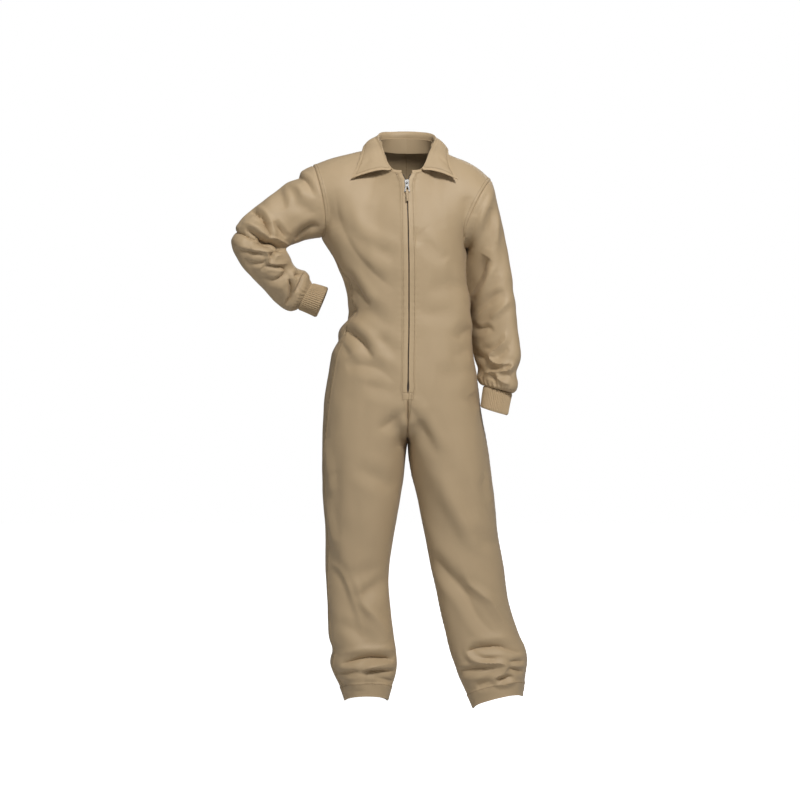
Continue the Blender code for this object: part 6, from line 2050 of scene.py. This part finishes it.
class SUIT_OT_cuffs(Operator):
    """Make the ribbed knit cuffs."""

    bl_idname = "suit.cuffs"
    bl_label = "Cuffs"

    def execute(self, context):
        for side in SIDES:
            outer, inner = cuff_grids(side, context.scene.suit_cuffs)
            item = shell(f"cuff_{side}_knit", outer, inner, finish_of("knit"), True, ("top", "bottom"))
            belongs(item, "cuff_" + side)
        return {"FINISHED"}


class SUIT_OT_zip(Operator):
    """Make the zip's woven tapes and its two rows of teeth, closed below the slider and open above it."""

    bl_idname = "suit.zip"
    bl_label = "Zip tapes and teeth"

    def execute(self, context):
        zip_size = context.scene.suit_zip
        faces = suit_faces()
        fronts = {side: faces["front_" + side].grid for side in SIDES}
        pitch = zip_size.tooth_pitch / MM
        closed = []
        for side in SIDES:
            sign = SIGN[side]
            levels = np.linspace(ZIP_START, ZIP_END + TAPE_BELOW, TAPE_ROWS)
            near, inside, _, outward = zip_edge(fronts[side], sign, levels)
            item = tape(side, near, inside, outward)
            levels = np.arange(ZIP_START + 1, COIL_CLOSE, pitch)
            near, _, across, outward = zip_edge(fronts[side], sign, levels)
            row = near - outward * COIL_DEEP, across, outward
            coil(f"zip_teeth_{side}", [row], zip_size, "zip_coil_" + side)
            levels = np.arange(COIL_CLOSE + (0 if sign < 0 else pitch / 2), ZIP_END, pitch)
            middle, across, outward = zip_line(fronts, levels)
            closed.append((middle - outward * COIL_DEEP, across * sign, outward))
        coil("zip_teeth_closed", closed, zip_size, "zip_coil_closed")
        return {"FINISHED"}


def zip_edge(front, sign, levels):
    """The open edge of the tape, its sewn line, and the directions across it and out of the cloth."""
    edge, inside = (column_at(front, away, levels) for away in (0, PLACKET))
    across = unit(inside - edge)
    outward = unit(np.cross(np.gradient(edge, axis=0), across * sign))
    overhang = np.minimum(COIL_OUT, OVERHANG_SHARE * np.array([zip_opening(level) for level in levels]))
    return edge - across * overhang[:, None], inside, across, outward


class SUIT_OT_slider(Operator):
    """Finish the slider and its pull, and fold the cloth tab through the pull's foot."""

    bl_idname = "suit.slider"
    bl_label = "Slider, pull and cloth tab"

    def execute(self, context):
        for name in ("zip_slider", "zip_pull"):
            metal = frame["nodes"][name]
            metal.data.materials.clear()
            metal.data.materials.append(finish_of("nickel"))
            soften = metal.modifiers.new("edges", "BEVEL")
            soften.width = METAL_EDGE
            soften.segments = 2
            soften.angle_limit = math.radians(35)
            soften.harden_normals = True
        hinge, across, up, out = pull_frame()
        loop = tab_loop()
        step = unit(np.gradient(loop, axis=0))
        side = np.stack([step[:, 1], -step[:, 0]], 1)
        layers = []
        for offset in (TAB_THICK / 2, -TAB_THICK / 2):
            line = loop + side * offset
            spine = hinge + line[:, :1] * out + line[:, 1:] * up
            places = np.linspace(-TAB_HALF, TAB_HALF, TAB_LINES)
            layers.append(np.stack([spine + across * place for place in places], 1))
        tab = shell("zip_tab_cloth", *layers, finish_of("twill"), free=("first", "last", "top", "bottom"))
        belongs(tab, "zip_pull_tab", PULL_BODY)
        rows = []
        half, top, low = TAB_STITCH_HALF, TAB_STITCH_TOP, TAB_END + TAB_STITCH_IN
        corners = [(-half, top), (half, top), (half, low), (-half, low), (-half, top)]
        for face in (1, -1):
            lift = (TAB_STITCH_OUT + TAB_THICK / 2) * face
            for start, end in zip(corners, corners[1:]):
                line = np.array([hinge + out * lift + across * a + up * b for a, b in (start, end)])
                rows.append((line, np.tile(out * face, (2, 1))))
        sewn("zip_tab_stitches", rows, context.scene.suit_cloth, finish_of("thread"), body=PULL_BODY)
        return {"FINISHED"}


class SUIT_OT_stitching(Operator):
    """Sew the seams, hems, placket, collar and sleeves with rows of thread that lie on the cloth."""

    bl_idname = "suit.stitching"
    bl_label = "Stitching"

    def execute(self, context):
        cloth = context.scene.suit_cloth
        faces = suit_faces()
        thread = finish_of("thread")
        body, hems, sleeves = [], [], []
        for side in SIDES:
            front, back, sleeve = (faces[f"{name}_{side}"] for name in ("front", "back", "sleeve"))
            rows = range(len(front.grid))
            box_row = next(row for row in rows if -front.grid[row, 0, 2] > BOX_START)
            crotch_row = next(row for row in rows if -front.grid[row, 0, 2] > CROTCH)
            for distance in SEAM_ROWS:
                body.append(line_beside(front, "last", distance, YOKE_LINES))
                body.append(line_beside(back, "top", distance, 1, BACK_SHOULDER))
            body.append(line_beside(front, "first", PLACKET_ROW, 0, box_row))
            body.append(line_beside(front, "last", SEAM_ROWS[1], 0, YOKE_LINES))
            body.append(line_beside(back, "first", SEAM_ROWS[1], 0, YOKE_LINES))
            for piece in (front, back):
                hems.append(line_beside(piece, "bottom", HEM_ROW))
            sleeves.append(line_beside(sleeve, "first", SEAM_ROWS[0]))
            if side == "left":
                for distance in SEAM_ROWS:
                    body.append(line_beside(front, "first", distance, box_row, crotch_row))
                    body.append(line_beside(back, "last", distance, 0, crotch_row))
        body += stitched_box(faces)
        sewn("body_stitches", body, cloth, thread)
        sewn("hem_stitches", hems, cloth, thread)
        sewn("sleeve_stitches", sleeves, cloth, thread)
        fall = made_fall()
        collar = [line_beside(fall, edge, COLLAR_MARGIN, *span) for edge, span in collar_spans(fall).items()]
        sewn("collar_stitches", collar, cloth, thread)
        return {"FINISHED"}


def stitched_box(faces):
    """The box of stitches across both fronts below the zip."""
    rows = []
    for level in (BOX_START, BOX_END):
        points, normals = [], []
        for side in SIDES:
            front = faces["front_" + side]
            places = np.linspace(BOX_HALF, BOX_INSIDE, BOX_POINTS)
            line = np.array([column_at(front.face, place, np.array([level]))[0] for place in places])
            facing = np.array([facing_at(front, level) for _ in places])
            if side == "left":
                line, facing = line[::-1], facing[::-1]
            points.append(line)
            normals.append(facing)
        rows.append((np.concatenate(points), np.concatenate(normals)))
    for side in SIDES:
        front = faces["front_" + side]
        levels = np.linspace(BOX_START, BOX_END, BOX_POINTS)
        line = column_at(front.face, BOX_HALF, levels)
        rows.append((line, np.array([facing_at(front, level) for level in levels])))
    return rows


def facing_at(front, level):
    """Which way a front faces beside its edge at a level."""
    row = int(np.argmin(np.abs(front.grid[:, 0, 2] + level)))
    return unit(front.normals[row, BOX_COLUMNS].mean(0))


def collar_spans(fall):
    """Where a row of stitches beside each edge of the fall turns into the next one, as places on the grid."""
    rows, columns = fall.grid.shape[:2]
    around, back, edge = map(fall.away, ("first", "last", "bottom"))
    first = int(np.argmax(around[-1] > COLLAR_MARGIN))
    last = int(columns - np.argmax(back[-1][::-1] > COLLAR_MARGIN))
    low = int(rows - np.argmax(edge[::-1, 0] > COLLAR_MARGIN))
    roll = len(PLAIN_CELL) * 3
    return {"bottom": (first, last), "first": (roll, low), "last": (roll, low)}


class SUIT_OT_stage(Operator):
    """Lay the pale floor, set the soft lights and place the camera."""

    bl_idname = "suit.stage"
    bl_label = "Stage, lights and camera"

    def execute(self, context):
        settings = context.scene.suit_stage
        paper(settings)
        lights(settings)
        camera(settings)
        context.scene.view_settings.view_transform = "Standard"
        return {"FINISHED"}


def paper(settings):
    """A flat sheet of paper under the suit."""
    corners = [(x, y, settings.floor_level) for x, y in FLOOR_CORNERS]
    mesh = bpy.data.meshes.new("paper_floor")
    mesh.from_pydata(corners, [], [range(len(corners))])
    mesh.materials.append(floor_finish(settings))
    item = bpy.data.objects.new("paper_floor", mesh)
    bpy.context.scene.collection.objects.link(item)


def aimed(item, place, target):
    """Put a lamp or camera at a place, looking at a target."""
    item.location = place
    item.rotation_euler = (Vector(target) - Vector(place)).to_track_quat("-Z", "Y").to_euler()
    bpy.context.scene.collection.objects.link(item)


def lights(settings):
    """A soft key from the upper right, a weak fill from the left, and some light from overhead and behind."""
    for lamp in LAMPS:
        data = bpy.data.lights.new(lamp.name, "AREA")
        data.shape = "DISK"
        data.size = lamp.size
        data.energy = getattr(settings, lamp.power)
        item = bpy.data.objects.new(lamp.name, data)
        aimed(item, lamp.place, lamp.target)
    world = bpy.data.worlds.new("soft_room")
    world.use_nodes = True
    tree = world.node_tree
    sky = tree.nodes["Background"]
    sky.inputs["Color"].default_value = (1.0, 1.0, 1.0, 1.0)
    tree.links.new(seen_or_lit(tree, 1.0, settings.ambient), sky.inputs["Strength"])
    bpy.context.scene.world = world


def seen_or_lit(tree, seen, lit):
    """One strength where the surround is seen, and another for the light that it gives."""
    eye = node(tree, "ShaderNodeLightPath").outputs["Is Camera Ray"]
    return ranged(tree, eye, lit, seen)


def camera(settings):
    """Place the camera in front of the suit."""
    data = bpy.data.cameras.new("camera")
    data.lens = settings.focal_length
    data.sensor_width = 36
    item = bpy.data.objects.new("camera", data)
    aimed(item, CAMERA.place, CAMERA.target)
    bpy.context.scene.camera = item


# ================================================================ panel and registration
class SUIT_PT_sidebar(Panel):
    """Lists the settings and the steps that build the suit."""

    bl_label = "Boiler Suit"
    bl_idname = "SUIT_PT_sidebar"
    bl_space_type = "VIEW_3D"
    bl_region_type = "UI"
    bl_category = "Boiler Suit"

    def draw(self, context):
        for operator in OPERATORS:
            self.layout.operator(operator.bl_idname)
        for name in SETTINGS:
            box = self.layout.box()
            box.label(text=name.replace("suit_", "").capitalize())
            group = getattr(context.scene, name)
            for setting in group.__annotations__:
                box.prop(group, setting)


SETTINGS = {"suit_cloth": SuitCloth, "suit_cuffs": SuitCuffs, "suit_zip": SuitZip, "suit_stage": SuitStage}
OPERATORS = (
    SUIT_OT_panels, SUIT_OT_sleeves, SUIT_OT_collar, SUIT_OT_cuffs,
    SUIT_OT_zip, SUIT_OT_slider, SUIT_OT_stitching, SUIT_OT_stage,
)


def register():
    """Add the settings, the operators and the panel to Blender."""
    for item in (*SETTINGS.values(), *OPERATORS, SUIT_PT_sidebar):
        bpy.utils.register_class(item)
    for name, group in SETTINGS.items():
        setattr(bpy.types.Scene, name, PointerProperty(type=group))


def unregister():
    """Take them out again."""
    for name in SETTINGS:
        delattr(bpy.types.Scene, name)
    for item in (SUIT_PT_sidebar, *reversed(OPERATORS), *SETTINGS.values()):
        bpy.utils.unregister_class(item)


def main():
    """Build the suit step by step."""
    register()
    for operator in OPERATORS:
        group, name = operator.bl_idname.split(".")
        getattr(getattr(bpy.ops, group), name)()


if __name__ == "__main__":
    main()
